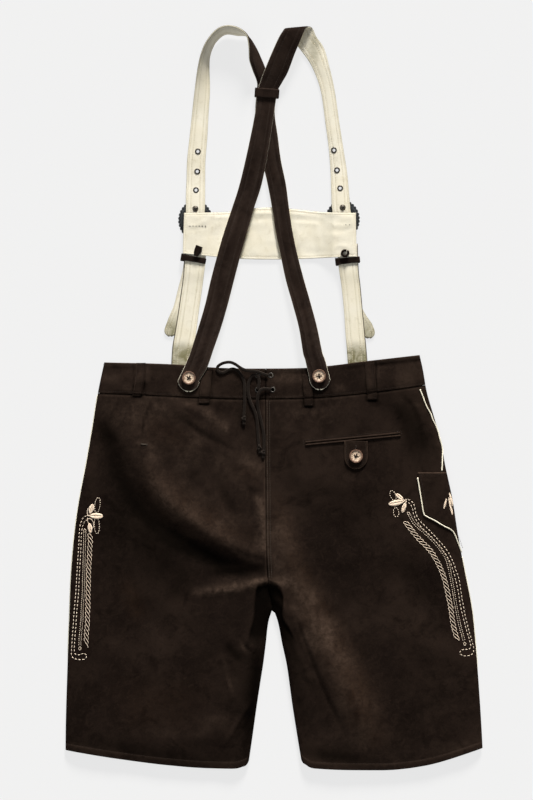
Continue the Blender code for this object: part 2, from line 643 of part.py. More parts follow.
def add_eyelet(name, place, half_stack):
    """A ring with a flange on the upper side and a barrel through the leather."""
    top = half_stack + GAP + 0.6
    profile = [(EYELET_HOLE, top), (EYELET_FLANGE, top), (EYELET_FLANGE, half_stack + GAP),
               (EYELET_BARREL, half_stack + GAP), (EYELET_BARREL, -half_stack + 0.1),
               (EYELET_HOLE, -half_stack + 0.1)]
    return add_turned(name, profile, place, UP, "old_metal", 10)


def build_crossbar():
    for side, layer, material in ((1, "lining", "cream_leather"), (-1, "face", "suede")):
        def point(u, v, side=side):
            x_top, x_low = -144 + 275 * u, -146 + 278 * u
            low, high = read_curve(BAR_BOTTOM, x_low), read_curve(BAR_TOP, x_top)
            x = x_low + (x_top - x_low) * v
            z = read_curve(BAR_HEIGHT, x)
            return (x, low + (high - low) * v, z + side * (GAP / 2) + (side > 0) * STRAP_WALL)
        add_sheet(f"crossbar_{layer}", point, 24, 1, STRAP_WALL, material)


def build_rosettes():
    for side, (x, y) in ROSETTES.items():
        rim = []
        for i in range(ROSETTE_SCALLOPS * 3):
            angle = 2 * math.pi * i / (ROSETTE_SCALLOPS * 3)
            radius = ROSETTE_RADIUS - 1.6 + 1.6 * abs(math.sin(angle * ROSETTE_SCALLOPS / 2))
            rim.append((x + radius * math.cos(angle), y + ROSETTE_STRETCH * radius * math.sin(angle)))
        add_flat(f"rosette_{side}", [rim], 0, 1.5, "suede")
        eyelet = (STRAP_B_EYELETS if side == "left" else STRAP_A_EYELETS)[-1]
        z = strap_centre(STRAP_B if side == "left" else STRAP_A, eyelet[1]) + STRAP_HALF_STACK
        top = z + GAP + 0.6 + GAP
        profile = [(0, top + 1.6), (2.4, top + 1.3), (3.4, top + 0.6), (3.4, top), (2.1, top),
                   (2.1, 1.9), (0, 1.9)]
        add_turned(f"stud_{side}", profile, (*eyelet, 0), UP, "old_metal", 12)


def add_band_ring(name, centre, half_width, low, high, band, thickness, turn):
    """A leather loop round flat straps: a rounded frame, `band` wide along the straps."""
    def frame(half, bottom, top, corner):
        middle = (bottom + top) / 2
        tall = (top - bottom) / 2
        points = []
        for cx, cz, start in ((half - corner, tall - corner, 0), (-half + corner, tall - corner, 90),
                              (-half + corner, -tall + corner, 180), (half - corner, -tall + corner, 270)):
            for step in range(4):
                angle = math.radians(start + 30 * step)
                points.append((cx + corner * math.cos(angle), middle + cz + corner * math.sin(angle)))
        return points
    inner = frame(half_width, low, high, min(1.5, (high - low) / 2.2))
    outer = frame(half_width + thickness, low - thickness, high + thickness,
                  min(2.6, (high - low) / 2 + thickness * 0.8))
    obj = add_flat(name, [outer, inner], -band / 2, band / 2, "suede")
    obj.location = Vector((centre[0], centre[1], 0)) * MM
    obj.rotation_euler = (math.pi / 2, 0, math.radians(turn))
    return obj


def build_loops_and_ties():
    add_band_ring("keeper_loop", (-11, 489), 18.5, 4.5 - STRAP_HALF_STACK - GAP,
                  8.2 + STRAP_HALF_STACK + 4 * GAP, 14, 1.2, -4)
    for side, x, y, half, turn in (("left", -129, 223, 20.4, -10), ("right", 118, 220, 19.5, 6)):
        add_band_ring(f"tie_{side}", (x, y), half, 1.25, 8.4, 9.0, 1.0, turn)
    for side, x, y, turn in (("left", -122.5, 234.5, -18), ("right", 113.5, 233, -30)):
        knot = bmesh.new()
        bmesh.ops.create_uvsphere(knot, u_segments=12, v_segments=8, radius=1)
        mesh = bpy.data.meshes.new(f"tie_knot_{side}")
        knot.to_mesh(mesh)
        knot.free()
        for vertex in mesh.vertices:
            vertex.co = (vertex.co.x * 6.5 * MM, vertex.co.y * 9.0 * MM, vertex.co.z * 2.6 * MM)
        obj = finish(bpy.data.objects.new(f"tie_knot_{side}", mesh), "suede")
        obj.location = Vector((x, y, 14.4)) * MM
        obj.rotation_euler.z = math.radians(turn)


# ---- Buttons, eyelets and laces -------------------------------------------------------------
def add_button(name, place):
    r, h = BUTTON_RADIUS, BUTTON_HEIGHT
    profile = [(0, h - 1.3), (r * 0.62, h - 1.2), (r * 0.74, h - 0.3), (r * 0.86, h),
               (r, h - 1.2), (r * 0.85, 0.2), (0, 0)]
    obj = add_turned(name, profile, place, UP, "horn", 16)
    pins = [((place[0] + dx * 2.3, place[1] + dy * 2.3, place[2] + h / 2), UP, 1.0, 3 * h)
            for dx in (-1, 1) for dy in (-1, 1)]
    cut_holes(obj, f"{name}_holes", pins, 6)


def build_buttons():
    for name, (x, y) in STRAP_BUTTONS.items():
        top = max(button_height(x + dx, y + dy) for dx in (-15, 0, 15) for dy in (-4, 14))
        add_button(name, (x, y, top + 0.4 + STRAP_HALF_STACK + GAP))
    x, y = POCKET_BUTTON
    top = max(back_height(x + dx, y + dy) for dx in (-11, 0, 11) for dy in (-11, 0, 11))
    add_button("pocket_button", (x, y, top + 1.5 + GAP + SUEDE + GAP))


def build_lacing():
    for name, (x, y) in WAIST_EYELETS.items():
        place = Vector((x, y, back_height(x, y) + BAND_TOP))
        top, bottom = GAP + 0.6, -BAND_WALL - 0.2
        profile = [(EYELET_HOLE, top), (EYELET_FLANGE, top), (EYELET_FLANGE, GAP),
                   (EYELET_BARREL, GAP), (EYELET_BARREL, bottom), (EYELET_HOLE, bottom)]
        add_turned(f"waist_eyelet_{name}", profile, place, UP, "old_metal", 10)
    routes = {"lace_upper": LACE_UPPER, "lace_lower": LACE_LOWER, "lace_right": LACE_RIGHT}
    for name, route in routes.items():
        heights = [(x, y, back_height(x, y) + BAND_TOP + lift) for x, y, lift in route]
        add_tube(name, even_path(heights, 2.4 * 2 * LACE_RADIUS), LACE_RADIUS, "lace")


build_front()
build_back()
build_belt_loops()
build_pocket()
build_knife_pocket()
build_piping()
build_straps()
build_crossbar()
build_rosettes()
build_loops_and_ties()
build_buttons()
build_lacing()
bpy.context.view_layer.update()
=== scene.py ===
# %% [markdown]
# # Suede lederhosen with braces, laid on their front
# The real thing is a pair of goat suede knee breeches, cut from flat hides and sewn, so almost all
# of it is sheet: two back halves, a waistband, pockets, belt loops and the two layers of each brace.
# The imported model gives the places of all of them. This lesson dresses it: each layer of leather
# becomes a fine curved sheet, and buttons, eyelets, laces and every seam get their own pieces.

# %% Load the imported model
import math

import bpy
import numpy as np
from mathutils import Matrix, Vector


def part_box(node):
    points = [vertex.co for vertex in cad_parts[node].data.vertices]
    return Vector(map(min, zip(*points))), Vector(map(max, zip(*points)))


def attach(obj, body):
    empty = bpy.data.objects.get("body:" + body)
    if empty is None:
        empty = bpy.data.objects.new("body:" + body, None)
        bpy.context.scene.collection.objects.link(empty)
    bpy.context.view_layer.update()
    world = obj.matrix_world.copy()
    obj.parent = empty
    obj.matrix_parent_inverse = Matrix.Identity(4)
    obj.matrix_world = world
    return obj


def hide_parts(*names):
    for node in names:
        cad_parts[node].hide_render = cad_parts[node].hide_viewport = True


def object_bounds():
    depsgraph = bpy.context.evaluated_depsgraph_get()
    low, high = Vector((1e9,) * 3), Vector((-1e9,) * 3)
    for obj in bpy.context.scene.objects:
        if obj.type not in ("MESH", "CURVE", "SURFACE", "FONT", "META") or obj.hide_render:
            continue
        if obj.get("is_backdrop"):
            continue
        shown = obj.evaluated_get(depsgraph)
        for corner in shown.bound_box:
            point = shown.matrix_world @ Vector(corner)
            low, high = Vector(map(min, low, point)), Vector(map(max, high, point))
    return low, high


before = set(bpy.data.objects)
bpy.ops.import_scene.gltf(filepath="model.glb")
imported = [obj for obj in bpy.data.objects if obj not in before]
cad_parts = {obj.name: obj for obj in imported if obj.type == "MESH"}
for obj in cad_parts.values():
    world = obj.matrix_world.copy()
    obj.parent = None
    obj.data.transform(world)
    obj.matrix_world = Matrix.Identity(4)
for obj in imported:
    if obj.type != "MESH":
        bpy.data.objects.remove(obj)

MM = 0.001
cad_box = [list(corner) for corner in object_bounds()]
print("nodes", len(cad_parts), "box", np.round(cad_box, 4).tolist())

# %% [markdown]
# ## Camera, floor and light
# The garment lies flat and is seen straight from above. A long lens five metres up keeps the hems
# and the shoulders at one scale. The camera's own axes do the rest: unturned, it looks down and
# has +Y upwards in the frame.

# %% Camera
def link_object(name, data):
    """A new object in the scene, with the mesh, camera or light given."""
    made = bpy.data.objects.new(name, data)
    bpy.context.scene.collection.objects.link(made)
    return made


PIXEL = 1.6 * MM
PICTURE_HEIGHT = 800
DISTANCE = 5.0
AIM = Vector((-0.012, -0.0024, 0.012))
camera_data = bpy.data.cameras.new("camera")
camera_data.lens = camera_data.sensor_width * DISTANCE / (PICTURE_HEIGHT * PIXEL)
camera = link_object("camera", camera_data)
camera.location = (AIM.x, AIM.y, AIM.z + DISTANCE)
bpy.context.scene.camera = camera
print("lens", round(camera_data.lens, 1), "mm")

# %% [markdown]
# The floor is a pale sheet of paper. Most of its brightness is its own, so that the shadows that
# fall on it stay faint. The key is a soft sun: it is as strong at the hems as at the shoulders. It
# stands low beyond the shoulders, in line with the body, because dark suede shows its folds only
# under a low light. The world fills the shadows.

# %% Floor and lights
FLOOR_SIZE, FLOOR_LEVEL = 9, -0.0004
bpy.ops.mesh.primitive_plane_add(size=FLOOR_SIZE, location=(0, 0, FLOOR_LEVEL))
floor = bpy.context.object
floor.name = "floor"
floor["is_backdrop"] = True


def add_sun(name, towards, strength, softness, colour):
    """A sun that shines from the direction `towards`; `softness` is its width in degrees."""
    data = bpy.data.lights.new(name, "SUN")
    data.energy, data.angle, data.color = strength, math.radians(softness), colour
    light = link_object(name, data)
    light.rotation_euler = Vector(towards).to_track_quat("Z", "Y").to_euler()


add_sun("key", (0.14, 1.0, 0.40), 7.2, 14, (1.0, 0.975, 0.94))
add_sun("fill", (-0.7, -0.3, 1.6), 0.7, 60, (0.94, 0.97, 1.0))
world = bpy.data.worlds.new("studio")
world.use_nodes = True
background = world.node_tree.nodes["Background"].inputs
background["Color"].default_value = (0.96, 0.98, 1.0, 1)
background["Strength"].default_value = 0.16
bpy.context.scene.world = world
bpy.context.scene.view_settings.view_transform = "Standard"

# %% [markdown]
# ## The cut of the back, as numbers
# Tables hold the outline, in millimetres from the middle of the garment. They are the same tables
# that the solids were made from, so that a sheet lies where its solid lies. A smooth curve is read
# through each table. It never overshoots between two rows, which matters at the crotch.

# %% Outline tables
GAP = 0.3  # between two pieces that touch
BAND_TOP = 0.8  # how far the waistband stands above the halves
PANEL_RIM = 3.9  # height of the halves at their edges
STRAP_WALL = 1.2
HALF_STACK = STRAP_WALL + GAP / 2  # half of a strap, which has two layers
CROTCH_Y = -332.0
SIDE_LEFT = [(58, -272), (10, -282), (-47, -291), (-105, -301), (-162, -312), (-220, -320),
             (-278, -325), (-354, -328), (-431, -331), (-558, -334), (-600, -334)]
SIDE_RIGHT = [(71, 233), (49, 238), (10, 245), (-28, 256), (-66, 267), (-105, 274), (-162, 286),
              (-220, 295), (-278, 306), (-335, 317), (-393, 323), (-470, 329), (-554, 334),
              (-600, 336)]
MIDDLE = [(60, -13, 0), (-2, -13.5, 0), (-135, -13, 0), (-280, -10.4, 0), (-326, -4, 0),
          (-336, -2, 0.8), (-354, -1.5, 6.5), (-393, 0, 13), (-431, 1.5, 19.5), (-489, 1, 28),
          (-546, 1.5, 36.5), (-600, 2, 45)]
WAIST = [(-275, 58), (-150, 54), (-102, 50), (-38, 48), (51, 49), (85, 52), (149, 60), (236, 70)]
BAND_SEAM = [(-284, 9), (-226, 7), (-123, 2), (-51, 0), (48, 1), (147, 9), (230, 20), (250, 23)]
HEM_LEFT = [(-334, -563), (-262, -575), (-170, -587), (-123, -591), (-70, -592.5), (-52, -590),
            (-42, -584), (-37, -573)]
HEM_RIGHT = [(40, -566), (43, -577), (52, -587), (69, -592.5), (174, -595), (206, -593),
             (245, -587), (334, -560)]
LOFT = [(70, 9), (10, 12), (-66, 15), (-162, 18), (-278, 18), (-400, 16), (-500, 13), (-600, 11)]
FOLDS = [
    # three points of the crest or valley, its half width and its height
    (-262, -38, -176, -192, -19, -266, 20, -6.5),
    (-202, -30, -112, -132, -19, -190, 28, 5.0),
    (-124, -320, -70, -302, -16, -290, 13, 5.0),
    (-19, -290, 44, -366, 102, -526, 13, 3.5),
    (-2, -330, 20, -400, 62, -500, 12, -3.0),
    (-10, -170, 72, -352, 146, -535, 36, 4.0),
    (-30, -334, -38, -362, -46, -391, 9, -4.0),
    (-44, -394, -38, -404, -36, -416, 10, 5.0),
    (200, -250, 222, -305, 244, -356, 34, -4.0),
    (-200, -256, -152, -384, -118, -530, 44, 3.0),
]
print("folds", len(FOLDS))

# %% Curves through a table
def read_curve(table, at, column=1):
    """A smooth curve through a table's rows, sorted by their first column, read at `at`."""
    rows = sorted(table)
    keys = np.array([row[0] for row in rows], float)
    values = np.array([row[column] for row in rows], float)
    secants = np.diff(values) / np.diff(keys)
    slopes = np.gradient(values, keys)
    turning = secants[:-1] * secants[1:] <= 0
    limit = 3 * np.minimum(abs(secants[:-1]), abs(secants[1:]))
    slopes[1:-1] = np.where(turning, 0, np.clip(slopes[1:-1], -limit, limit))
    at = np.clip(at, keys[0], keys[-1])
    i = np.clip(np.searchsorted(keys, at, side="right") - 1, 0, len(keys) - 2)
    span = keys[i + 1] - keys[i]
    t = (at - keys[i]) / span
    return (values[i] * (1 + 2 * t) * (1 - t) ** 2 + values[i + 1] * t * t * (3 - 2 * t)
            + slopes[i] * span * t * (1 - t) ** 2 - slopes[i + 1] * span * t * t * (1 - t))


def middle_edge(y, sign):
    """X of the centre seam and, below the crotch, of a leg's inseam: sign -1 left, +1 right."""
    return read_curve(MIDDLE, y, 1) + sign * np.maximum(0, read_curve(MIDDLE, y, 2))


def smoothstep(low, high, value):
    t = np.clip((value - low) / (high - low), 0, 1)
    return t * t * (3 - 2 * t)


def roll(distance, width):
    """A quarter round: 0 at the edge, 1 from `width` inwards."""
    t = np.clip(distance / width, 0, 1)
    return np.sqrt(np.maximum(0, 1 - (1 - t) ** 2))


def bump(distance, width):
    """A smooth bell, 1 at distance 0."""
    return np.exp(-((distance / width) ** 2))


def unit(vectors, least=0.0):
    """The same directions with length 1."""
    return vectors / np.maximum(np.linalg.norm(vectors, axis=-1, keepdims=True), least)


def turned(x, y, turn):
    """x and y turned round the origin by `turn` radians."""
    c, s = math.cos(turn), math.sin(turn)
    return x * c - y * s, x * s + y * c


def run_along(path):
    """How far along a path each of its points lies."""
    return np.concatenate([[0], np.cumsum(np.linalg.norm(np.diff(path, axis=0), axis=1))])


def read_rows(marks, along, rows):
    """Rows read at `marks`, when `along` says where each row lies."""
    return np.column_stack([np.interp(marks, along, rows[:, k]) for k in range(rows.shape[1])])


print("centre seam at the waist, x", float(read_curve(MIDDLE, 0.0)))

# %% [markdown]
# Worn suede is never flat. A small noise made of random numbers on a grid, smoothed between its
# points, gives the shallow unevenness. The seed is fixed, so each run gives the same hide.

# %% Smooth noise
LATTICE = np.random.default_rng(7).uniform(-1, 1, (8, 64, 64))


def noise(x, y, layer=0):
    """Smooth noise from -1 to 1 with one feature a unit."""
    column, row = np.floor(x).astype(int), np.floor(y).astype(int)
    u, v = x - column, y - row
    u, v = u * u * (3 - 2 * u), v * v * (3 - 2 * v)
    grid = LATTICE[layer]
    a, b = grid[row % 64, column % 64], grid[row % 64, (column + 1) % 64]
    c, d = grid[(row + 1) % 64, column % 64], grid[(row + 1) % 64, (column + 1) % 64]
    return (a * (1 - u) + b * u) * (1 - v) + (c * (1 - u) + d * u) * v


print("noise at three places", np.round(noise(np.array([0.2, 1.4, 9.1]), np.zeros(3)), 2))

# %% [markdown]
# ## The height of the back
# One function says how high the back lies at any place, and everything sewn to the back uses it.
# It is a shallow dome that rolls down at the side seams and, below the crotch, at the inseams.
# The long folds of the seat and the legs are bells along arcs.

# %% Back height
def fold_curve(x0, y0, x1, y1, x2, y2):
    """Points along the arc through three places."""
    t = np.linspace(0, 1, 13)[:, None]
    start, middle, end = np.array([x0, y0]), np.array([x1, y1]), np.array([x2, y2])
    bend = 2 * middle - (start + end) / 2
    return (1 - t) ** 2 * start + 2 * t * (1 - t) * bend + t**2 * end


def fold_height(x, y, folds):
    """Sum of bells along arcs; each fades towards the ends of its arc."""
    total = np.zeros_like(x)
    for row in folds:
        curve = fold_curve(*row[:6])
        best, share = np.full_like(x, 1e9), np.zeros_like(x)
        for i, ((ax, ay), (bx, by)) in enumerate(zip(curve, curve[1:])):
            run = (bx - ax) ** 2 + (by - ay) ** 2
            t = np.clip(((x - ax) * (bx - ax) + (y - ay) * (by - ay)) / run, 0, 1)
            apart = np.hypot(x - ax - t * (bx - ax), y - ay - t * (by - ay))
            nearer = apart < best
            best = np.where(nearer, apart, best)
            share = np.where(nearer, (i + t) / (len(curve) - 1), share)
        ends = np.minimum(share, 1 - share) * 3
        total += row[7] * bump(best, row[6]) * np.minimum(1, 0.35 + ends)
    return total


def edge_distances(x, y):
    """How far in a place of the back lies from the side and from the inseam."""
    left = x < read_curve(MIDDLE, y, 1)
    outer = np.where(left, x - read_curve(SIDE_LEFT, y), read_curve(SIDE_RIGHT, y) - x)
    return outer, np.where(left, middle_edge(y, -1) - x, x - middle_edge(y, 1))


def above_hem(x, y):
    """How far above the hem a place of the back lies."""
    left = x < read_curve(MIDDLE, y, 1)
    return y - np.where(left, read_curve(HEM_LEFT, x), read_curve(HEM_RIGHT, x))


def back_height(x, y, folds=FOLDS):
    x, y = np.broadcast_arrays(np.asarray(x, float), np.asarray(y, float))
    outer, inner = edge_distances(x, y)
    crotch = smoothstep(CROTCH_Y + 62, CROTCH_Y, y)
    shape = roll(outer, 26) * (1 - crotch * (1 - roll(inner, 20)))
    return PANEL_RIM + (read_curve(LOFT, y) - PANEL_RIM + fold_height(x, y, folds)) * shape


print("height mid seat", round(float(back_height(-120.0, -120.0)), 1), "mm")

# %% [markdown]
# Over the main shape comes the tailor's work: the felled centre seam, whose allowance lies under
# the right half and lifts it, the turned hem, the seam under the waistband with its small puckers,
# the two darts, and the sharp creases of wear. They are half a millimetre high, which is enough
# for a low light to find them.

# %% Folds and creases of the panels
PANEL_FOLDS = [
    # three points of the crest or valley, its half width and its height
    (-268, -46, -187, -196, -16, -280, 18, -7.5),
    (-222, -66, -152, -172, -22, -259, 16, 6.2),
    (-170, 4, -104, -28, -54, -66, 12, 3.2),
    (-62, -102, -36, -106, -14, -130, 14, 2.4),
    (-96, -120, -78, -158, -60, -188, 15, -3.0),
    (-27, -150, -20, -190, -16, -246, 9, 2.6),
    (-128, -309, -70, -303, -8, -290, 11, 3.6),
    (-100, -282, -52, -279, -16, -273, 9, -2.6),
    (-46, -300, -10, -291, 17, -303, 4, 1.3),
    (-46, -384, -37, -396, -30, -410, 8, 4.0),
    (4, -176, 70, -354, 158, -545, 25, 6.5),
    (16, -342, 60, -440, 102, -530, 10, -4.0),
    (200, -250, 222, -305, 244, -356, 34, -4.0),
    (-200, -256, -152, -384, -118, -530, 44, 3.5),
    (-216, -296, -180, -330, -128, -346, 20, 2.2),
    (-70, -430, -56, -465, -50, -500, 16, -3.2),
    (-170, -552, -110, -562, -60, -556, 14, -2.4),
    (70, -226, 130, -250, 190, -246, 26, 1.8),
    (130, -300, 176, -420, 196, -540, 30, -2.6),
]
CREASES = [
    (-82, -414, -76, -446, -67, -482, 2.6, 1.0),
    (-36, -484, -56, -516, -78, -554, 4.0, 2.6),
    (-28, -498, -46, -528, -64, -562, 6.0, -2.2),
    (36, -352, 64, -430, 112, -540, 3.0, -1.6),
    (-212, -74, -206, -96, -208, -108, 7.0, 2.2),
    (205, 2, 226, -30, 236, -88, 6.0, -2.6),
    (196, -8, 213, -40, 224, -90, 6.0, 1.8),
    (-160, -14, -128, -40, -80, -62, 9.0, 1.8),
    (-150, -30, -112, -60, -62, -84, 6.0, -1.4),
    (-70, -236, -44, -252, -16, -258, 5.0, -1.8),
    (-150, -212, -112, -232, -70, -238, 7.0, 1.4),
    (30, -238, 70, -262, 126, -258, 12.0, 1.3),
    (40, -120, 88, -140, 150, -140, 14.0, 1.2),
    (-10, -322, 6, -326, 22, -348, 5.0, 1.6),
    (-180, -352, -140, -400, -128, -470, 12.0, 1.3),
    (100, -330, 128, -372, 140, -430, 9.0, 1.2),
    (220, -380, 262, -420, 276, -500, 15.0, 1.4),
    (-300, -440, -262, -470, -236, -540, 16.0, 1.4),
    (-40, -262, -90, -262, -150, -240, 5.0, -1.2),
]
# Painted highlights, mostly on the lit ridges of the folds: three points of the arc, its half width
# and its strength.
HIGHLIGHT_PLACES = [
    (-218, -86, -160, -173, -24, -260, 13, 0.56),
    (-192, -108, -122, -168, -54, -216, 32, 0.20),
    (-272, 10, -262, -30, -250, -66, 20, 0.10),
    (-52, -186, -28, -210, -14, -250, 17, 0.34),
    (-12, -240, 2, -262, 16, -276, 12, 0.30),
    (4, -20, 60, -26, 112, -16, 24, 0.34),
    (-250, -14, -180, -44, -90, -92, 44, 0.26),
    (-110, -60, -60, -110, -26, -190, 34, 0.16),
    (-27, -156, -19, -190, -15, -246, 6, 0.85),
    (-160, 4, -104, -27, -56, -64, 8, 0.50),
    (-222, -9, -194, -8, -158, -28, 7, 0.34),
    (-62, -104, -36, -106, -14, -130, 10, 0.42),
    (-214, -71, -205, -73, -196, -76, 5.0, 1.00),
    (-210, -88, -198, -92, -186, -98, 8, 0.36),
    (-100, -204, -78, -200, -60, -197, 11, 0.34),
    (-126, -310, -70, -304, -20, -294, 6.5, 1.00),
    (-114, -309, -84, -310, -54, -303, 12, 0.40),
    (-52, -304, -10, -290.5, 19, -305, 4.2, 1.00),
    (-51, -388, -47, -401, -30, -410, 3.2, 0.90),
    (-22, -300, -12, -300, -4, -300, 7, 0.16),
    (-1, -297, 1, -301, 3, -306, 1.6, 0.60),
    (-205, -346, -184, -374, -162, -406, 18, 0.15),
    (-204, -528, -150, -541, -96, -524, 9, 0.22),
    (-132, -520, -92, -512, -56, -513, 9, 0.20),
    (-80, -420, -74, -446, -67, -468, 2.4, 0.32),
    (4, -168, 26, -272, 96, -384, 21, 0.50),
    (44, -326, 106, -430, 154, -548, 25, 0.68),
    (16, -306, 47, -370, 75, -430, 7, 0.40),
    (10, -289, 20, -294, 34, -306, 9, 0.80),
    (196, 3, 218, -4, 236, -18, 6, 0.50),
    (247, -20, 262, -60, 270, -102, 6, 0.34),
    (186, -50, 192, -62, 196, -80, 12, 0.16),
    (40, -66, 72, -68, 104, -66, 8, 0.16),
    (30, -20, 44, -19, 58, -18, 9, 0.22),
    (110, -320, 152, -340, 200, -404, 20, 0.14),
    (236, -562, 290, -556, 324, -546, 8, 0.22),
    (-236, -190, -205, -208, -178, -222, 6, 0.16),
    (-242, -88, -234, -110, -222, -136, 5, 0.14),
    (-262, -36, -244, -32, -224, -20, 10, 0.18),
]
# A browner painted highlight on the lit ridges; the same columns.
WARM_HIGHLIGHT_PLACES = [
    (26, -290, 96, -400, 158, -535, 25, 0.80),
    (6, -170, 24, -240, 52, -304, 18, 0.55),
    (-202, -122, -140, -176, -44, -228, 26, 0.45),
    (-236, -290, -224, -326, -214, -352, 14, 0.45),
    (-212, -44, -180, -52, -140, -70, 20, 0.30),
    (-246, -470, -180, -490, -120, -470, 40, 0.25),
    (-60, -116, -40, -118, -20, -120, 14, 0.30),
]
# Painted shade in the valleys and creases and below the belt loops; the same columns.
SHADE_PLACES = [
    (-270, -46, -194, -197, -18, -279, 18, 0.78),
    (-276, -44, -264, -58, -250, -74, 13, 0.35),
    (-286, -150, -224, -236, -150, -304, 44, 0.40),
    (-176, -208, -134, -241, -58, -276, 11, 0.50),
    (-112, -276, -66, -279, -22, -276, 7, 0.45),
    (-274, -50, -264, -74, -250, -112, 17, 0.15),
    (-232, -190, -166, -262, -134, -300, 28, 0.36),
    (-78, -386, -66, -404, -46, -420, 9, 0.85),
    (-73, -478, -62, -494, -55, -508, 10, 0.45),
    (-24, -396, -33, -480, -44, -566, 15, 1.00),
    (-320, -540, -150, -574, -50, -563, 15, 0.60),
    (40, -140, 100, -168, 176, -160, 34, 0.28),
    (18, -374, 52, -444, 98, -536, 8, 0.45),
    (20, -360, 34, -440, 56, -560, 12, 0.35),
    (62, -564, 104, -573, 150, -577, 12, 0.75),
    (186, -2, 220, -40, 236, -96, 24, 0.80),
    (206, -262, 232, -290, 252, -322, 20, 0.42),
    (-92, -126, -76, -160, -60, -186, 8, 0.40),
    (-42, -137, -30, -147, -16, -145, 6, 0.45),
    (-54, -14, -46, -38, -34, -52, 7, 0.40),
    (-164, -10, -152, -28, -126, -44, 6, 0.30),
    (-322, -476, -317, -500, -311, -524, 13, 0.35),
    (-176, -310, -162, -315, -140, -302, 12, 0.28),
    (22, -80, 36, -136, 68, -178, 6, 0.18),
    (90, -196, 114, -215, 142, -232, 12, 0.22),
    (50, -10, 56, -12, 64, -12, 6, 0.55),
    (152, -2, 162, -6, 172, -8, 6, 0.50),
    (-196, -2, -206, -30, -210, -60, 1.6, 0.60),
]

# %% The hollow between the legs
RECESS_LEFT = [(-296, -17), (-301, -27), (-320, -31), (-350, -33.5), (-384, -42)]  # y, x
RECESS_RIGHT = [(-296, -3), (-301, 6), (-311, 13), (-326, 15.5), (-347, 14), (-369, 25), (-392, 38)]


def recess(x, y):
    """1 in the arched hollow under the crotch fold, 0 outside it."""
    inside = smoothstep(-0.5, 2.5, x - read_curve(RECESS_LEFT, y))
    inside = inside * smoothstep(-0.5, 2.5, read_curve(RECESS_RIGHT, y) - x)
    return inside * (1 - smoothstep(-299, -295, y)) * smoothstep(-398, -370, y)


print("hollow", round(float(recess(np.array([-12.0]), np.array([-330.0]))[0]), 2))

# %% Relief of seams, hems and creases
DARTS = [(-203, -4, -211, -64, 1.5), (149, 6, 150, -56, 0.35)]


def panel_relief(x, y):
    """The tailor's work on the back halves: the seam, the hem, the puckers and the darts."""
    seam = x - read_curve(MIDDLE, y, 1)
    above_crotch = smoothstep(-295, -288, y)
    felled = np.where(seam >= 0, 0.7 * (1 - smoothstep(6.0, 7.8, seam)), 0)
    lift = above_crotch * (felled - 0.9 * bump(seam, 1.3) - 0.4 * bump(seam - 6.4, 0.9))
    below = read_curve(BAND_SEAM, x) - y
    pucker = noise(x / 7, y / 40, 1) * np.exp(-np.maximum(below, 0) / 16)
    lift += 0.45 * pucker - 0.9 * bump(below, 2.2)
    above = above_hem(x, y)
    lift += 0.6 * (1 - smoothstep(10.0, 11.6, above)) - 0.4 * bump(above - 10.6, 0.9)
    lift -= 0.5 * bump(above, 1.0)
    lift += 0.22 * noise((x + y) / 9, (x - y) / 30, 2) * (1 - smoothstep(8, 26, above))
    for x0, y0, x1, y1, depth in DARTS:
        share = np.clip((y - y0) / (y1 - y0), 0, 1)
        off = x - (x0 + (x1 - x0) * share)
        reach = smoothstep(y1 - 6, y1 + 4, y)
        lift += reach * depth * (0.9 * bump(off + 3, 3.5) - 1.2 * bump(off, 1.5))
        lift += depth * bump(np.hypot(x - x1, y - y1 + 6), 7)
    return lift


def panel_height(x, y):
    """The outer face of the back halves, with all its relief."""
    x, y = np.broadcast_arrays(np.asarray(x, float), np.asarray(y, float))
    outer, inner = edge_distances(x, y)
    edge = roll(outer, 14) * np.where(y < CROTCH_Y, roll(inner, 12), 1)
    soft = (1.3 * noise(x / 58, y / 74, 3) + 0.6 * noise(x / 23, y / 29, 4)
            + 0.16 * noise(x / 8, y / 9, 5) + fold_height(x, y, CREASES))
    calm = 1 - 0.85 * np.exp(-(((x + 34) / 30) ** 2) - ((y + 45) / 62) ** 2)
    calm *= smoothstep(-2, 26, read_curve(BAND_SEAM, x) - y)
    base = back_height(x, y)
    folded = base + (back_height(x, y, PANEL_FOLDS) - base) * calm
    sunk = 3.4 * recess(x, y) * edge
    return folded + edge * calm * soft - sunk + panel_relief(x, y) * np.minimum(1, 0.3 + edge)


def band_height(x, y):
    """The outer face of the waistband: two layers, pressed flat at both topstitched edges."""
    x, y = np.broadcast_arrays(np.asarray(x, float), np.asarray(y, float))
    low, high = y - read_curve(BAND_SEAM, x), read_curve(WAIST, x) - y
    middle = np.clip(low / np.maximum(low + high, 1), 0, 1)
    lift = 0.7 * np.sin(math.pi * middle) - 0.9 * bump(low, 0.9) - 1.0 * bump(high, 1.0)
    lift -= 0.4 * (bump(low - 3.2, 0.8) + bump(high - 3.4, 0.8))
    soft = np.minimum(roll(low, 8), roll(high, 8))
    lift += soft * (0.8 * noise(x / 30, y / 15, 6) + 0.3 * noise(x / 9, y / 11, 2))
    lift -= soft * 1.6 * bump(y - 52 - (x - 160) * 0.1, 3.5) * smoothstep(158, 176, x)
    lift -= 0.7 * bump(x - read_curve(MIDDLE, y, 1), 1.2)
    return back_height(x, y) + BAND_TOP + lift


def put_on(height, x, y, lift=0.0):
    """Points at (x, y) on a height function, moved out by `lift`, and the normals there."""
    x, y = np.asarray(x, float), np.asarray(y, float)
    step = 0.7
    slope_x = (height(x + step, y) - height(x - step, y)) / (2 * step)
    slope_y = (height(x, y + step) - height(x, y - step)) / (2 * step)
    normal = unit(np.stack([-np.clip(slope_x, -2.5, 2.5), -np.clip(slope_y, -2.5, 2.5),
                            np.ones_like(slope_x)], axis=-1))
    return np.stack([x, y, height(x, y)], axis=-1) + normal * lift, normal


print("seat relief", round(float(panel_relief(np.array([-5.0]), np.array([-150.0]))[0]), 2), "mm")

# %% [markdown]
# ## Paths
# Straps, laces and seams all follow a path. A Catmull-Rom curve goes through every point given and
# needs no handles, and a second pass spreads points evenly along it.

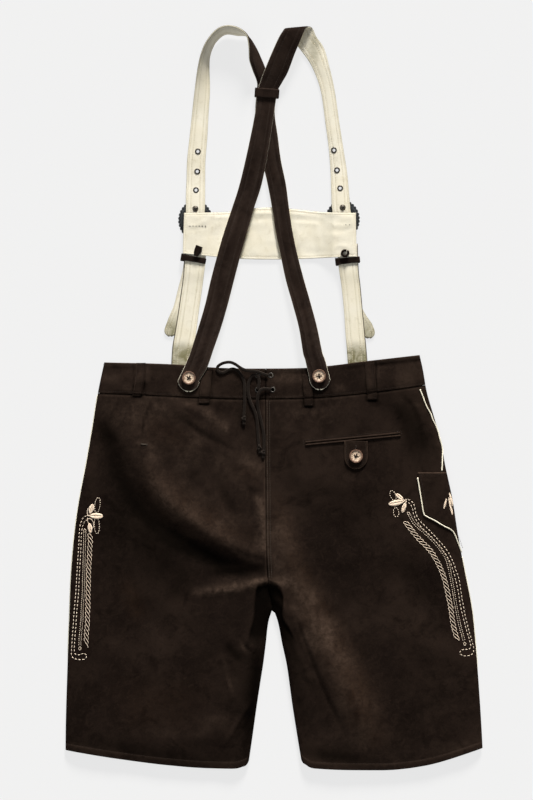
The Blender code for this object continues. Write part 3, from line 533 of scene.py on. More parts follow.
# %% Paths
def smooth_path(points, steps):
    """A Catmull-Rom curve through the points, with `steps` points for each of them."""
    rows = np.array(points, float)
    padded = np.vstack([2 * rows[0] - rows[1], rows, 2 * rows[-1] - rows[-2]])
    path = []
    for a, b, c, d in zip(padded, padded[1:], padded[2:], padded[3:]):
        for step in range(steps):
            t = step / steps
            path.append(0.5 * (2 * b + (c - a) * t + (2 * a - 5 * b + 4 * c - d) * t**2
                               + (3 * b - a - 3 * c + d) * t**3))
    path.append(rows[-1])
    return np.array(path)


def spread(dense, spacing):
    """The same path with a point about every `spacing`."""
    along = run_along(dense[:, :3])
    count = max(2, round(along[-1] / spacing) + 1)
    return read_rows(np.linspace(0, along[-1], count), along, dense)


def even_path(points, spacing):
    """A smooth curve through the points, with a point about every `spacing`."""
    return spread(smooth_path(points, 12), spacing)


print("a quarter turn in", len(even_path([(0, 0, 0), (30, 10, 0), (40, 40, 0)], 5)), "points")

# %% [markdown]
# ## Finishes
# Shader maths reads best as Python. `Wire` wraps one output of a node, so that `1 - mask` or
# `mask * 0.4` adds the Math node it needs. `Finish` holds one material and adds any other node.

# %% Wires and finishes
class Wire:
    def __init__(self, finish, socket):
        self.finish, self.socket = finish, socket

    def maths(self, operation, first, second):
        return self.finish.node("ShaderNodeMath", {"operation": operation}, {0: first, 1: second})

    def __add__(self, other):
        return self.maths("ADD", self, other)

    def __radd__(self, other):
        return self.maths("ADD", other, self)

    def __sub__(self, other):
        return self.maths("SUBTRACT", self, other)

    def __rsub__(self, other):
        return self.maths("SUBTRACT", other, self)

    def __mul__(self, other):
        return self.maths("MULTIPLY", self, other)

    def __rmul__(self, other):
        return self.maths("MULTIPLY", other, self)

    def above(self, low, high):
        """0 below `low`, 1 above `high`, and smooth between."""
        settings = {"interpolation_type": "SMOOTHSTEP"}
        return self.finish.node("ShaderNodeMapRange", settings, {"Value": self, 1: low, 2: high})


FINISHES = {}


class Finish:
    """One material, kept in FINISHES under its name."""

    def __init__(self, name, roughness=0.8, metallic=0.0, specular=0.4, sheen=0.0,
                 sheen_tint=(1, 1, 1)):
        self.material = FINISHES[name] = bpy.data.materials.new(name)
        self.material.use_nodes = True
        self.tree = self.material.node_tree
        self.inputs = self.tree.nodes["Principled BSDF"].inputs
        for socket, value in (("Roughness", roughness), ("Metallic", metallic),
                              ("Specular IOR Level", specular), ("Sheen Weight", sheen),
                              ("Sheen Roughness", 0.5),
                              ("Sheen Tint", (*sheen_tint, 1))):
            self.inputs[socket].default_value = value
        self.place = self.node("ShaderNodeTexCoord", {}, {}, "Object")

    def node(self, kind, settings, sockets, output=0):
        node = self.tree.nodes.new(kind)
        for key, value in settings.items():
            setattr(node, key, value)
        for key, value in sockets.items():
            if isinstance(value, Wire):
                self.tree.links.new(value.socket, node.inputs[key])
            else:
                node.inputs[key].default_value = value
        return Wire(self, node.outputs[output])

    def noise(self, scale, detail=3.0, roughness=0.55, distortion=0.0):
        return self.node("ShaderNodeTexNoise", {}, {
            "Vector": self.place, "Scale": scale, "Detail": detail, "Roughness": roughness,
            "Distortion": distortion})

    def painted(self, key):
        """A value that was painted on the points of a piece."""
        return self.node("ShaderNodeAttribute", {"attribute_name": key}, {}, "Fac")

    def mix(self, factor, first, second):
        """A colour between two, each a colour or a wire."""
        colours = [c if isinstance(c, Wire) else (*c, 1) for c in (first, second)]
        return self.node("ShaderNodeMix", {"data_type": "RGBA"},
                         {0: factor, 6: colours[0], 7: colours[1]}, 2)

    def colour(self, wire):
        self.tree.links.new(wire.socket, self.inputs["Base Color"])

    def rough(self, wire):
        self.tree.links.new(wire.socket, self.inputs["Roughness"])

    def raise_by(self, *layers):
        """Bumps on bumps: each layer is a wire, its distance in millimetres and its strength."""
        normal = None
        for wire, distance, strength in layers:
            sockets = {"Height": wire, "Distance": distance * MM, "Strength": strength}
            if normal:
                sockets["Normal"] = normal
            normal = self.node("ShaderNodeBump", {}, sockets)
        self.tree.links.new(normal.socket, self.inputs["Normal"])


print("finish helper ready")

# %% [markdown]
# ## Suede
# Suede is the flesh side of a hide, brushed. Its colour drifts over a hand's width, the nap lies
# in clouds that catch light differently, and single fibres show close up. The edges that hands and
# chairs wear turn lighter. The ridges of the folds are lighter too, as a painted highlight. One
# value painted on the points of a sheet says where. A second painted value adds a browner painted
# highlight on the lit ridges. A third paints shade, near black at its strongest, in the valleys,
# the seams, the hollow under the crotch and beside the parts that stand up. Sheen gives the soft
# light along each fold.

# %% Suede finishes
def make_suede(name, dark, light, worn):
    suede = Finish(name, roughness=0.95, specular=0.004, sheen=0.006,
                   sheen_tint=(0.80, 0.62, 0.52))
    drift = suede.noise(7.0, 5.0, 0.62, 0.5)
    clouds = suede.noise(34.0, 5.0, 0.65, 0.9)
    fibres = suede.noise(850.0, 3.0, 0.7)
    hide = suede.mix(drift.above(0.38, 0.64), dark, light)
    dull = tuple(c * 0.6 for c in dark)
    hide = suede.mix(clouds.above(0.46, 0.72) * 0.8, hide, dull)
    brushed = suede.noise(80.0, 6.0, 0.74, 1.0).above(0.45, 0.68)
    hide = suede.mix(brushed * 0.70, hide, light)
    trodden = suede.noise(130.0, 5.0, 0.75, 0.8).above(0.50, 0.72)
    hide = suede.mix(trodden * 0.45, hide, dull)
    patchy = suede.noise(150.0, 5.0, 0.7, 0.6).above(0.30, 0.72)
    # Painted highlight: a lighter, browner tone on the lit ridges of the folds.
    highlight_tan = (light[0] * 1.75, light[1] * 1.45, light[2] * 1.15)
    hide = suede.mix(suede.painted("warm") * (0.25 + patchy * 0.6), hide, highlight_tan)
    hide = suede.mix((fibres - 0.45) * 0.4, hide, worn)
    # Real wear and painted highlight: pale nap on worn edges and on the lit ridges of the folds.
    hide = suede.mix(suede.painted("rub") * (0.30 + patchy * 0.70), hide, worn)
    # Painted shade: near black in the valleys, the seams, the hollow and beside raised parts.
    shade_colour = tuple(dark[0] * share for share in (0.12, 0.10, 0.07))
    hide = suede.mix(suede.painted("deep") * 0.85, hide, shade_colour)
    suede.colour(hide)
    suede.rough(0.88 + clouds * 0.10)
    suede.raise_by((clouds, 0.5, 0.5), (suede.noise(300.0, 4.0, 0.65), 0.22, 0.6),
                   (fibres, 0.12, 0.7))


make_suede("suede", (0.0076, 0.0049, 0.0038), (0.0162, 0.0104, 0.0077), (0.070, 0.046, 0.033))
make_suede("strap_suede", (0.0105, 0.0068, 0.0053), (0.0200, 0.0128, 0.0098),
           (0.060, 0.042, 0.033))
make_suede("rosette_felt", (0.018, 0.020, 0.022), (0.036, 0.039, 0.042), (0.070, 0.074, 0.078))
print("suedes", sorted(FINISHES))

# %% [markdown]
# ## Cream leather, piping, thread and laces
# The inner side of the braces is smooth cream leather: a fine pebbled grain, a yellow cast that
# comes and goes, and darker hairlines where it has bent. Olive painted shade darkens it at its
# edges, in its stitch grooves and where other parts shade it. Thread is a twist of plies, which a
# fine stripe round each stitch suggests. The lace is a cut strip of brown leather, with a painted
# highlight along its edges.

# %% Leather, thread and lace finishes
OLIVE_SHADE = (0.17, 0.155, 0.075)


def make_leather(name, pale, warm, shaded, grain=1.0):
    leather = Finish(name, roughness=0.55, specular=0.35, sheen=0.12, sheen_tint=(1, 0.95, 0.85))
    drift = leather.noise(16.0, 3.0, 0.55, 0.5)
    skin = leather.mix(drift.above(0.35, 0.7), pale, warm)
    blotch = leather.noise(85.0, 4.0, 0.6, 0.6)
    skin = leather.mix(blotch.above(0.52, 0.8) * 0.35, skin, shaded)
    cells = leather.node("ShaderNodeTexVoronoi", {"feature": "DISTANCE_TO_EDGE"},
                         {"Vector": leather.place, "Scale": 900.0})
    skin = leather.mix((1 - cells.above(0.0, 0.12)) * 0.16, skin, shaded)
    # Painted shade: the value that paints suede pale darkens this leather, at its edges and along the
    # sides of the piping.
    skin = leather.mix(leather.painted("rub") * 0.7, skin, shaded)
    mottle = leather.noise(60.0, 4.0, 0.65, 0.8).above(0.36, 0.62)
    # Painted olive shade, mottled, where the pieces say.
    skin = leather.mix(leather.painted("deep") * (0.62 + mottle * 0.38), skin, OLIVE_SHADE)
    leather.colour(skin)
    leather.rough(0.5 + blotch * 0.2)
    leather.raise_by((drift, 0.6 * grain, 0.4), (blotch, 0.2 * grain, 0.5),
                     (cells.above(0.0, 0.3), 0.05 * grain, 0.8))


def make_thread(name, base, light, gloss=0.3):
    thread = Finish(name, roughness=0.7, specular=gloss, sheen=gloss, sheen_tint=(1, 0.95, 0.9))
    fuzz = thread.noise(1500.0, 2.0, 0.6)
    tone = thread.noise(120.0, 2.0, 0.6)
    thread.colour(thread.mix(fuzz * 0.6 + tone * 0.4, base, light))
    plies = thread.node("ShaderNodeTexWave", {"bands_direction": "DIAGONAL"},
                        {"Vector": thread.place, "Scale": 420.0, "Distortion": 2.0})
    thread.raise_by((plies, 0.15, 0.7), (fuzz, 0.05, 0.6))


make_leather("cream_leather", (0.77, 0.725, 0.60), (0.74, 0.685, 0.54), (0.40, 0.34, 0.20))
make_leather("cream_piping", (0.82, 0.77, 0.62), (0.76, 0.70, 0.53), (0.52, 0.45, 0.30), 0.6)
make_thread("brown_thread", (0.011, 0.0080, 0.0064), (0.030, 0.022, 0.017), 0.04)
make_thread("seam_thread", (0.028, 0.022, 0.017), (0.070, 0.056, 0.042), 0.05)
make_thread("beige_thread", (0.64, 0.48, 0.34), (0.92, 0.79, 0.63))
make_thread("ecru_thread", (0.58, 0.50, 0.36), (0.80, 0.72, 0.54))
lace = Finish("lace_leather", roughness=0.7, specular=0.05, sheen=0.02, sheen_tint=(0.7, 0.6, 0.5))
lace_tone = lace.noise(240.0, 3.0, 0.6)
lace_face = lace.mix(lace_tone, (0.0045, 0.0032, 0.0025), (0.016, 0.0115, 0.0088))
# Painted highlight along the edges of the strip.
lace.colour(lace.mix(lace.painted("rub") * (0.15 + lace_tone * 0.6), lace_face, (0.13, 0.10, 0.08)))
lace.raise_by((lace_tone, 0.2, 0.6), (lace.noise(1200.0), 0.05, 0.7))
print("finishes", sorted(FINISHES))

# %% [markdown]
# ## Horn and old brass
# Each button is a slice of antler: pale, porous and flecked in the middle, with a brown rim. The
# distance from the middle is kept on the piece as a value of each point, so that the rings stay
# with the button wherever it is sewn. The eyelets are brass, blackened, with the lip worn clear; on
# the waistband's eyelets only one side of the lip is bright, a painted glint.

# %% Horn and metal finishes
horn = Finish("horn", roughness=0.45, specular=0.35)
fleck = horn.noise(480.0, 4.0, 0.7)
veins = horn.noise(260.0, 4.0, 0.7, 2.0)
edge = (horn.painted("ring") + (veins - 0.5) * 0.35).above(0.55, 0.86)
core = horn.mix(fleck.above(0.39, 0.56), (0.12, 0.065, 0.038), (0.80, 0.62, 0.45))
core = horn.mix(veins.above(0.56, 0.74) * 0.8, core, (0.10, 0.045, 0.022))
rind = horn.mix(veins.above(0.35, 0.65), (0.035, 0.016, 0.009), (0.22, 0.12, 0.075))
horn.colour(horn.mix(edge, core, rind))
horn.rough(0.34 + fleck * 0.22)
horn.raise_by((veins, 0.2, 0.5), (fleck, 0.08, 0.7))

brass = Finish("old_brass", roughness=0.35, metallic=1.0)
tarnish = brass.noise(600.0, 3.0, 0.6)
# The lip is bright where a painted value says: worn clear, or on one side a painted glint.
bright_lip = (brass.painted("ring") * (0.35 + tarnish * 0.9)).above(0.35, 0.75)
brass.colour(brass.mix(bright_lip, (0.055, 0.050, 0.045), (0.30, 0.26, 0.20)))
brass.rough(0.45 - bright_lip * 0.15)
brass.raise_by((tarnish, 0.05, 0.6))

paper = Finish("paper", roughness=1.0, specular=0.0)
fibre = paper.noise(600.0, 2.0)
paper.colour(paper.mix(fibre, (0.105, 0.105, 0.105), (0.115, 0.115, 0.115)))
paper.inputs["Emission Color"].default_value = (1.0, 1.0, 1.0, 1)
paper.inputs["Emission Strength"].default_value = 0.75
floor.data.materials.append(paper.material)
print("finishes in all", len(FINISHES))

# %% [markdown]
# ## Making a sheet
# A sheet is a grid of points shaped by a function, with a wall from Solidify. The grid is also the
# pattern piece: its longest row, its longest column and its area, measured along the leather, are
# the size that the piece was cut to.


def own(piece, finish, *nodes):
    """Sets a piece's finish, hangs it under the root body, and hides the solids it stands for."""
    piece.data.materials.clear()
    piece.data.materials.append(FINISHES[finish])
    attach(piece, "root")
    if nodes:
        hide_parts(*nodes)


def link_mesh(name, points, faces):
    """A new piece from points in millimetres, shaded smooth."""
    mesh = bpy.data.meshes.new(name)
    mesh.from_pydata((np.asarray(points) * MM).tolist(), [], faces)
    mesh.update()
    mesh.shade_smooth()
    return link_object(name, mesh)


def pick(piece):
    """Selects this piece alone and makes it active."""
    bpy.ops.object.select_all(action="DESELECT")
    piece.select_set(True)
    bpy.context.view_layer.objects.active = piece


def apply_all(piece):
    pick(piece)
    for modifier in list(piece.modifiers):
        bpy.ops.object.modifier_apply(modifier=modifier.name)
    return piece


def edit_all(piece, *steps):
    """Runs tools of edit mode on the whole of a piece, each with its settings."""
    pick(piece)
    bpy.ops.object.mode_set(mode="EDIT")
    for tool, settings in steps:
        bpy.ops.mesh.select_all(action="SELECT")
        tool(**settings)
    bpy.ops.object.mode_set(mode="OBJECT")


def thicken(piece, wall):
    """A wall of this thickness inwards from the surface."""
    solid = piece.modifiers.new("wall", "SOLIDIFY")
    solid.thickness, solid.offset, solid.use_even_offset = wall * MM, -1, False
    return apply_all(piece)


def round_edges(piece, width, segments, angle=30):
    """Rounds the edges sharper than `angle` degrees, once the modifiers are applied."""
    bevel = piece.modifiers.new("rounded edge", "BEVEL")
    bevel.width, bevel.segments, bevel.limit_method = width * MM, segments, "ANGLE"
    bevel.angle_limit = math.radians(angle)


def grid_faces(rows, columns):
    index = np.arange(rows * columns).reshape(rows, columns)
    quads = np.stack([index[:-1, :-1], index[:-1, 1:], index[1:, 1:], index[1:, :-1]], axis=-1)
    return quads.reshape(-1, 4)


def paint(piece, name, values):
    """Keeps one value for each point of the piece, for its finish to read."""
    layer = piece.data.attributes.new(name, "FLOAT", "POINT")
    layer.data.foreach_set("value", np.asarray(values, np.float32).ravel())


def cut_size(grid):
    """Longest row, longest column and area of a grid of points, in metres."""
    across = np.linalg.norm(np.diff(grid, axis=1), axis=2).sum(axis=1).max()
    along = np.linalg.norm(np.diff(grid, axis=0), axis=2).sum(axis=0).max()
    a, b, c, d = grid[:-1, :-1], grid[:-1, 1:], grid[1:, 1:], grid[1:, :-1]
    area = (np.linalg.norm(np.cross(b - a, c - a), axis=2).sum()
            + np.linalg.norm(np.cross(c - a, d - a), axis=2).sum()) / 2
    return across * MM, along * MM, area * MM * MM


CUTS = {}
LEAST_CUT = 0.01  # m, the narrowest cut that is stated


def make_sheet(name, grid, wall, finish, nodes, held, rests_on, closed=False, **painted):
    """A piece from a grid of points (rows, columns, 3), thickened against its normals.

    `closed` joins the last row to the first. `painted` holds values for the finish to read.
    """
    rows, columns = grid.shape[:2]
    faces = grid_faces(rows, columns)
    if closed:
        last = np.arange(columns - 1) + (rows - 1) * columns
        first = np.arange(columns - 1)
        faces = np.vstack([faces, np.stack([last, last + 1, first + 1, first], axis=1)])
    piece = link_mesh(name, grid.reshape(-1, 3), faces.tolist())
    for value_name, values in painted.items():
        paint(piece, value_name, np.clip(values, 0, 1))
    own(thicken(piece, wall), finish, *nodes)
    across, along, area = cut_size(np.concatenate([grid, grid[:1]]) if closed else grid)
    across, along = max(across, LEAST_CUT), max(along, LEAST_CUT)
    area = max(min(area, across * along), 0.301 * across * along)
    CUTS[name] = (round(across * 1000), round(along * 1000), round(area * 1e4))
    print(name, len(piece.data.polygons), "faces")
    return piece


def crowd(count, amount):
    """Shares from 0 to 1, closer together towards both ends."""
    u = np.linspace(0, 1, count)
    return u - amount * np.sin(2 * math.pi * u) / (2 * math.pi)


def share_grid(columns, rows, crowd_across=0.0, crowd_along=0.0):
    """Shares across and along, for each point of a sheet."""
    return np.meshgrid(crowd(columns, crowd_across), crowd(rows, crowd_along))


def tube_faces(rings, sides, base=0):
    """Quads between rings of points that close on themselves."""
    return [[base + i * sides + j, base + (i + 1) * sides + j,
             base + (i + 1) * sides + (j + 1) % sides, base + i * sides + (j + 1) % sides]
            for i in range(rings - 1) for j in range(sides)]


# %% [markdown]
# ## Laces
# Narrow leather laces close the slit of the waistband. Three ends hang out: one makes a loop above
# the waistband, two fall together from the lower eyelets, and each ends in a knot. A lace is a flat
# strip of leather, so it is a tube with a flat section that keeps its broad side up. A route has
# x, y and the height above the leather that it lies on.

# %% Lace routes
LACE_UPPER = [
    (-9, 37, 3.6), (-17, 39, 3.6), (-27, 43, 4.4), (-36, 44, 6.6), (-45, 45, 8), (-55, 50, 7),
    (-64, 56, 6), (-72, 58, 5), (-83, 56, 3.4), (-91, 49, 2.4), (-87, 42, 2.2), (-79, 42, 2.2),
    (-72, 46, 2.2), (-62, 47, 2.2), (-54, 40, 2.2), (-48, 28, 2.2), (-47, 10, 2.4), (-47, -10, 2.6),
    (-48, -25, 2.4), (-48, -42, 2.2),
]
LACE_LOWER = [
    (-26, 14, 2.95), (-24.6, 20, 2.9), (-23.8, 28, 2.8), (-26, 35.5, 2.9), (-31, 38.6, 3.2),
    (-36.5, 34.5, 2.9), (-40.5, 25, 2.4), (-41.5, 14, 2.2), (-39.5, 1, 2.2), (-35, -11, 2.4),
    (-30, -22, 2.2), (-27, -36, 1.6), (-26, -52, 1.4), (-24.5, -70, 1.4), (-22.5, -88, 1.4),
]
LACE_RIGHT = [
    (-5, 14, 2.85), (-11, 15.5, 3.3), (-18, 15.2, 4.9), (-23, 12, 5.8), (-25.8, 4, 5.4),
    (-26.3, -6, 4), (-25.5, -15, 2.8), (-23.5, -25, 2.2), (-20.5, -36, 1.6), (-16.5, -56, 1.5),
    (-16, -76, 1.4), (-17.5, -96, 1.4),
]


def lace_line(route):
    """The route, on the leather, with a point every 8 mm."""
    x, y, lift = np.array(route, float).T
    return even_path(np.column_stack([x, y, back_height(x, y) + BAND_TOP + lift]), 8.16)


print("route points", [len(lace_line(r)) for r in (LACE_UPPER, LACE_LOWER, LACE_RIGHT)])

# %% Strips that follow a path
def add_strip(name, path, width, height, sides=10):
    """A closed tube round a path, `width` across and `height` thick, kept level."""
    path = np.asarray(path, float)
    along = unit(np.gradient(path, axis=0))
    across = unit(np.cross(along, np.array([0.0, 0.0, 1.0])), 1e-6)
    upward = np.cross(across, along)
    angles = np.arange(sides) * 2 * math.pi / sides
    square = np.stack([np.sign(np.cos(angles)) * abs(np.cos(angles)) ** 0.6 * width / 2,
                       np.sign(np.sin(angles)) * abs(np.sin(angles)) ** 0.6 * height / 2], axis=1)
    rings = (path[:, None, :] + across[:, None, :] * square[None, :, :1]
             + upward[:, None, :] * square[None, :, 1:])
    faces = [[a, d, c, b] for a, b, c, d in tube_faces(len(path), sides)]
    faces.append(list(range(sides))[::-1])
    faces.append([(len(path) - 1) * sides + j for j in range(sides)])
    piece = link_mesh(name, rings.reshape(-1, 3), faces)
    # Painted light at both sides of the section: a highlight on laces, knots and the curl, shade on
    # the piping.
    paint(piece, "rub", np.tile(abs(np.cos(angles)) ** 12, len(path)))
    edit_all(piece, (bpy.ops.mesh.normals_make_consistent, {"inside": False}))
    return piece


def add_knot(name, place, size, turn):
    """A trefoil of the same strip, drawn small and tight."""
    t = np.linspace(0, 2 * math.pi, 49)[:-1]
    x, y = turned(np.sin(t) + 2 * np.sin(2 * t), np.cos(t) - 2 * np.cos(2 * t), turn)
    loop = np.column_stack([0.8 * x, 1.15 * y, -0.825 * np.sin(3 * t)]) * size / 3
    loop = np.vstack([loop, loop[:1]]) + place
    return add_strip(name, loop, 3.3, 2.0, 8)


def build_lace(name, route, tail_turn):
    """A lace and the knot at its free end."""
    line = lace_line(route)
    fine = even_path(line, 1.6)
    piece = add_strip(name, fine, 4.8, 1.8)
    own(piece, "lace_leather", name)
    knot = add_knot(f"{name}_end_knot", fine[-7] + np.array([0, 0, 0.8]), 3.1, tail_turn)
    own(knot, "lace_leather")


build_lace("lace_upper", LACE_UPPER, 0.3)
build_lace("lace_lower", LACE_LOWER, 1.1)
build_lace("lace_right", LACE_RIGHT, 2.4)

# %% [markdown]
# ## The back halves
# Each half is one hide panel from hem to waistband. Columns crowd towards the side seam and the
# centre seam, rows towards the hem and the waistband, because the tailor's relief is there. The
# two pockets and the sewing are pieces of their own and come later.

# %% Back halves
BELT_LOOPS = {
    # name: x and y of the upper end, x and y of the lower end, width
    "belt_loop_1": (-213, 57, -219, 4, 15), "belt_loop_2": (-108, 44, -112, -8, 17),
    "belt_loop_3": (52, 38, 55.5, -12, 14), "belt_loop_4": (152, 59, 157, -2, 15),
}


HEMS = {"left": HEM_LEFT, "right": HEM_RIGHT}


def across_back(side, share, y):
    """X of a place on one half, from its share of the width there."""
    if side == "left":
        start, end = read_curve(SIDE_LEFT, y), middle_edge(y, -1) - GAP / 2
    else:
        start, end = middle_edge(y, 1) + GAP / 2, read_curve(SIDE_RIGHT, y)
    return start + (end - start) * share


def on_line(side, share, table):
    """Y where a back half's columns meet a line given by a table."""
    y = np.full_like(share, table[len(table) // 2][1])
    for _ in range(5):
        y = read_curve(table, across_back(side, share, y))
    return y


def half_places(side, shares, low_line, high_line, gap=0):
    """X and y of a sheet's points on one half, between two lines."""
    share, level = shares
    low, high = on_line(side, share, low_line), on_line(side, share, high_line) - gap
    y = low + (high - low) * level
    return across_back(side, share, y), y


def panel_rub(x, y):
    """Where the nap is pale: worn along hem and seams, painted highlight on lit fold ridges."""
    hem = above_hem(x, y)
    seam = abs(x - read_curve(MIDDLE, y, 1))
    worn = 0.35 * bump(hem, 1.6) + 0.15 * bump(hem - 9, 3.0)
    worn += np.where(y > CROTCH_Y, 0.30 * bump(seam - 1.8, 1.6), 0)
    worn += 0.22 * bump(read_curve(BAND_SEAM, x) - y - 3, 2.0)
    patch = 0.62 + 0.5 * noise(x / 21, y / 26, 1) + 0.3 * noise(x / 7, y / 9, 2)
    return np.clip(worn + patch * fold_height(x, y, HIGHLIGHT_PLACES), 0, 1)


def panel_deep(x, y):
    """Painted shade: valleys, under the waistband, the centre seam, loop ends and the hollow."""
    below = read_curve(BAND_SEAM, x) - y
    seam = x - read_curve(MIDDLE, y, 1)
    lines = 0.9 * bump(below - 1.2, 1.5) + 0.55 * bump(seam, 1.2) * (y > -288)
    for _, _, x_low, y_low, width in BELT_LOOPS.values():
        off = np.maximum(abs(x - x_low) - width / 2, y_low - y)
        lines = lines + 0.75 * bump(off - 1.2, 1.8)
    return fold_height(x, y, SHADE_PLACES) + lines + 1.15 * recess(x, y)


def build_panel(side):
    shares = share_grid(132, 232, 0.82, 0.62)
    x, y = half_places(side, shares, HEMS[side], BAND_SEAM, GAP)
    grid = np.stack([x, y, panel_height(x, y)], axis=-1)
    # Painted on each half: pale wear with painted highlights, a browner painted highlight and painted
    # shade.
    make_sheet(f"back_half_{side}", grid, 1.6, "suede", [f"back_{side}"], "laid",
               [f"front_{side}"], rub=panel_rub(x, y) * (1 - 0.6 * recess(x, y)),
               warm=fold_height(x, y, WARM_HIGHLIGHT_PLACES), deep=panel_deep(x, y))


for half in ("left", "right"):
    build_panel(half)

# %% Allowances behind the seams
def build_allowance(name, along, place, half_width):
    """A strip that lies under a seam; `place` gives x and y from the run and the side step."""
    run, step = np.meshgrid(along, np.linspace(-half_width, half_width, 5), indexing="ij")
    x, y = place(run, step)
    under = np.minimum(back_height(x, y) - 2.3, panel_height(x, y) - 1.9)
    grid = np.stack([x, y, under], axis=-1)
    # Painted shade: dark all over, as the strips lie in the shade under the seams.
    make_sheet(name, grid, 1.0, "suede", [], "laid", ["front_left", "front_right"],
               deep=np.full_like(x, 0.9))


build_allowance("centre_seam_allowance", np.linspace(CROTCH_Y + 32, 44, 112),
                lambda run, step: (read_curve(MIDDLE, run, 1) - step, run), 5)
build_allowance("waist_seam_allowance", np.linspace(-279, 238, 150),
                lambda run, step: (run, read_curve(BAND_SEAM, run) + step), 4)
print("cuts", CUTS)

# %% [markdown]
# ## The waistband
# The band is two layers of suede, sewn to the halves below and turned over at the top, so it is
# thicker and stiffer than they are. It wrinkles where it is pressed by the loops, and it has four
# eyelet holes beside the centre seam, cut with a Boolean.

# %% Waistband
WAIST_EYELETS = {"upper_left": (-26, 37), "upper_right": (-5, 37),
                 "lower_left": (-26, 14), "lower_right": (-2, 14)}


def band_calm(x):
    """How much relief the waistband has: little under straps, buttons and laces."""
    return 1 - 0.9 * np.maximum(np.maximum(bump(x + 128, 34), bump(x - 62, 30)), bump(x + 42, 52))


def band_top(x, y):
    """The waistband's face, with its relief and its pressed edges."""
    flat = back_height(x, y) + BAND_TOP
    x, y = np.asarray(x, float), np.asarray(y, float)
    edges = 0.9 * bump(y - read_curve(BAND_SEAM, x), 0.9) + bump(read_curve(WAIST, x) - y, 1.0)
    return flat + (band_height(x, y) - flat + edges) * band_calm(x) - edges


def drill(piece, holes, radius, depth=9.0, sides=20):
    """Cuts upright round holes, (x, y, z) of each middle, through a piece."""
    for x, y, z in holes:
        bpy.ops.object.select_all(action="DESELECT")
        bpy.ops.mesh.primitive_cylinder_add(vertices=sides, radius=radius * MM, depth=depth * MM,
                                            location=(x * MM, y * MM, z * MM))
        pin = bpy.context.object
        cut = piece.modifiers.new("hole", "BOOLEAN")
        cut.operation, cut.solver, cut.object = "DIFFERENCE", "EXACT", pin
        apply_all(piece)
        bpy.data.objects.remove(pin)


def build_band(side):
    x, y = half_places(side, share_grid(132, 26, 0.7, 0.6), BAND_SEAM, WAIST)
    grid = np.stack([x, y, band_top(x, y)], axis=-1)
    low, high = y - read_curve(BAND_SEAM, x), read_curve(WAIST, x) - y
    rub = 0.8 * bump(low, 1.1) + 0.40 * bump(high, 1.4)
    rub += 0.26 * smoothstep(-0.1, 0.9, noise(x / 26, y / 16))
    rub += 0.50 * np.exp(-(((x - 18) / 28) ** 2) - ((y - 34) / 12) ** 2)
    # Darker: a patchy line 7 mm below the top. Painted shade: down the centre slit, and beside each
    # belt loop, darker on its right.
    deep = 0.5 * bump(high - 7, 3) * smoothstep(0, 0.6, noise(x / 40, y / 20, 3))
    deep = deep + 0.7 * bump(x - read_curve(MIDDLE, y, 1), 1.6)
    for x_top, _, x_low, _, width in BELT_LOOPS.values():
        deep = deep + 0.9 * bump(x - (x_top + x_low) / 2 - width / 2 - 1.2, 1.8)
        deep = deep + 0.5 * bump(x - (x_top + x_low) / 2 + width / 2 + 1.2, 1.4)
    piece = make_sheet(f"waistband_half_{side}", grid, 2.4, "suede", [f"waistband_{side}"],
                       "laid", [f"back_half_{side}"], rub=rub, deep=deep)
    holes = [(px, py, float(back_height(px, py))) for name, (px, py) in WAIST_EYELETS.items()
             if name.endswith(side)]
    drill(piece, holes, 3.25)
    piece.data.shade_smooth()
    print("holes", len(holes))


for half in ("left", "right"):
    build_band(half)

# %% [markdown]
# ## Belt loops
# Four loops of folded suede are caught in the band seam and at the top edge. Their ends are tacked
# flat and the middle stands off a little, so that a belt can pass. Their long edges are rounded,
# because they are folds, not cuts.

# %% Belt loops
def under_loop(x, y):
    band = smoothstep(-1.5, 1.5, y - read_curve(BAND_SEAM, x))
    return panel_height(x, y) * (1 - band) + band_top(x, y) * band


def loop_face(x, y, loop):
    """Height of a loop's outer face over its own place: flat ends, and slack above the lower end."""
    x_top, y_top, x_low, y_low, width = loop
    v = (y - y_low) / (y_top - y_low)
    middle = x_low + (x_top - x_low) * v
    edge = width / 2 - abs(x - middle)
    lift = 1.65 + 0.9 * np.sin(math.pi * np.clip(v, 0, 1)) ** 2 + 1.0 * bump(v - 0.34, 0.2)
    lift += 0.30 * bump(edge - 2.6, 1.4) - 1.1 * bump(edge, 0.9) - 0.40 * bump(edge - 2.6, 0.5)
    return under_loop(x, y) + lift + 0.2 * noise(x / 5, y / 7, 5)


def build_loop(name, loop):
    x_top, y_top, x_low, y_low, width = loop
    u, v = share_grid(21, 61, 0.5)
    bow = 1.6 * np.sin(math.pi * v) * (1 if name == "belt_loop_1" else 0.3)
    x = x_low + (x_top - x_low) * v + (u - 0.5) * width
    y = y_low + (y_top - y_low) * v
    grid = np.stack([x + bow, y, loop_face(x, y, loop)], axis=-1)
    # Painted highlight on the lit left edge, fainter on the right; painted shade at the lower end,
    # along the bottom and down the right edge.
    rub = 0.50 * bump(u, 0.06) + 0.18 * bump(1 - u, 0.06) + 0.16 * bump(u - 0.4, 0.4)
    deep = 0.10 * (1 - smoothstep(0.10, 0.22, v)) + 0.7 * bump(v, 0.03)
    deep += 0.3 * bump(1 - u, 0.14) * (1 - bump(1 - u, 0.05))
    side = "left" if x_low < -13 else "right"
    make_sheet(f"{name}_suede", grid, 1.3, "suede", [name], "folded",
               [f"waistband_half_{side}"], rub=rub, deep=deep)


for name, loop in BELT_LOOPS.items():
    build_loop(name, loop)

# %% [markdown]
# ## The buttoned back pocket
# The pocket is a slit between two narrow folded lips. A tab with a round end comes out between
# them and buttons down over the lower lip. Each lip is a strip whose fold is at the slit.

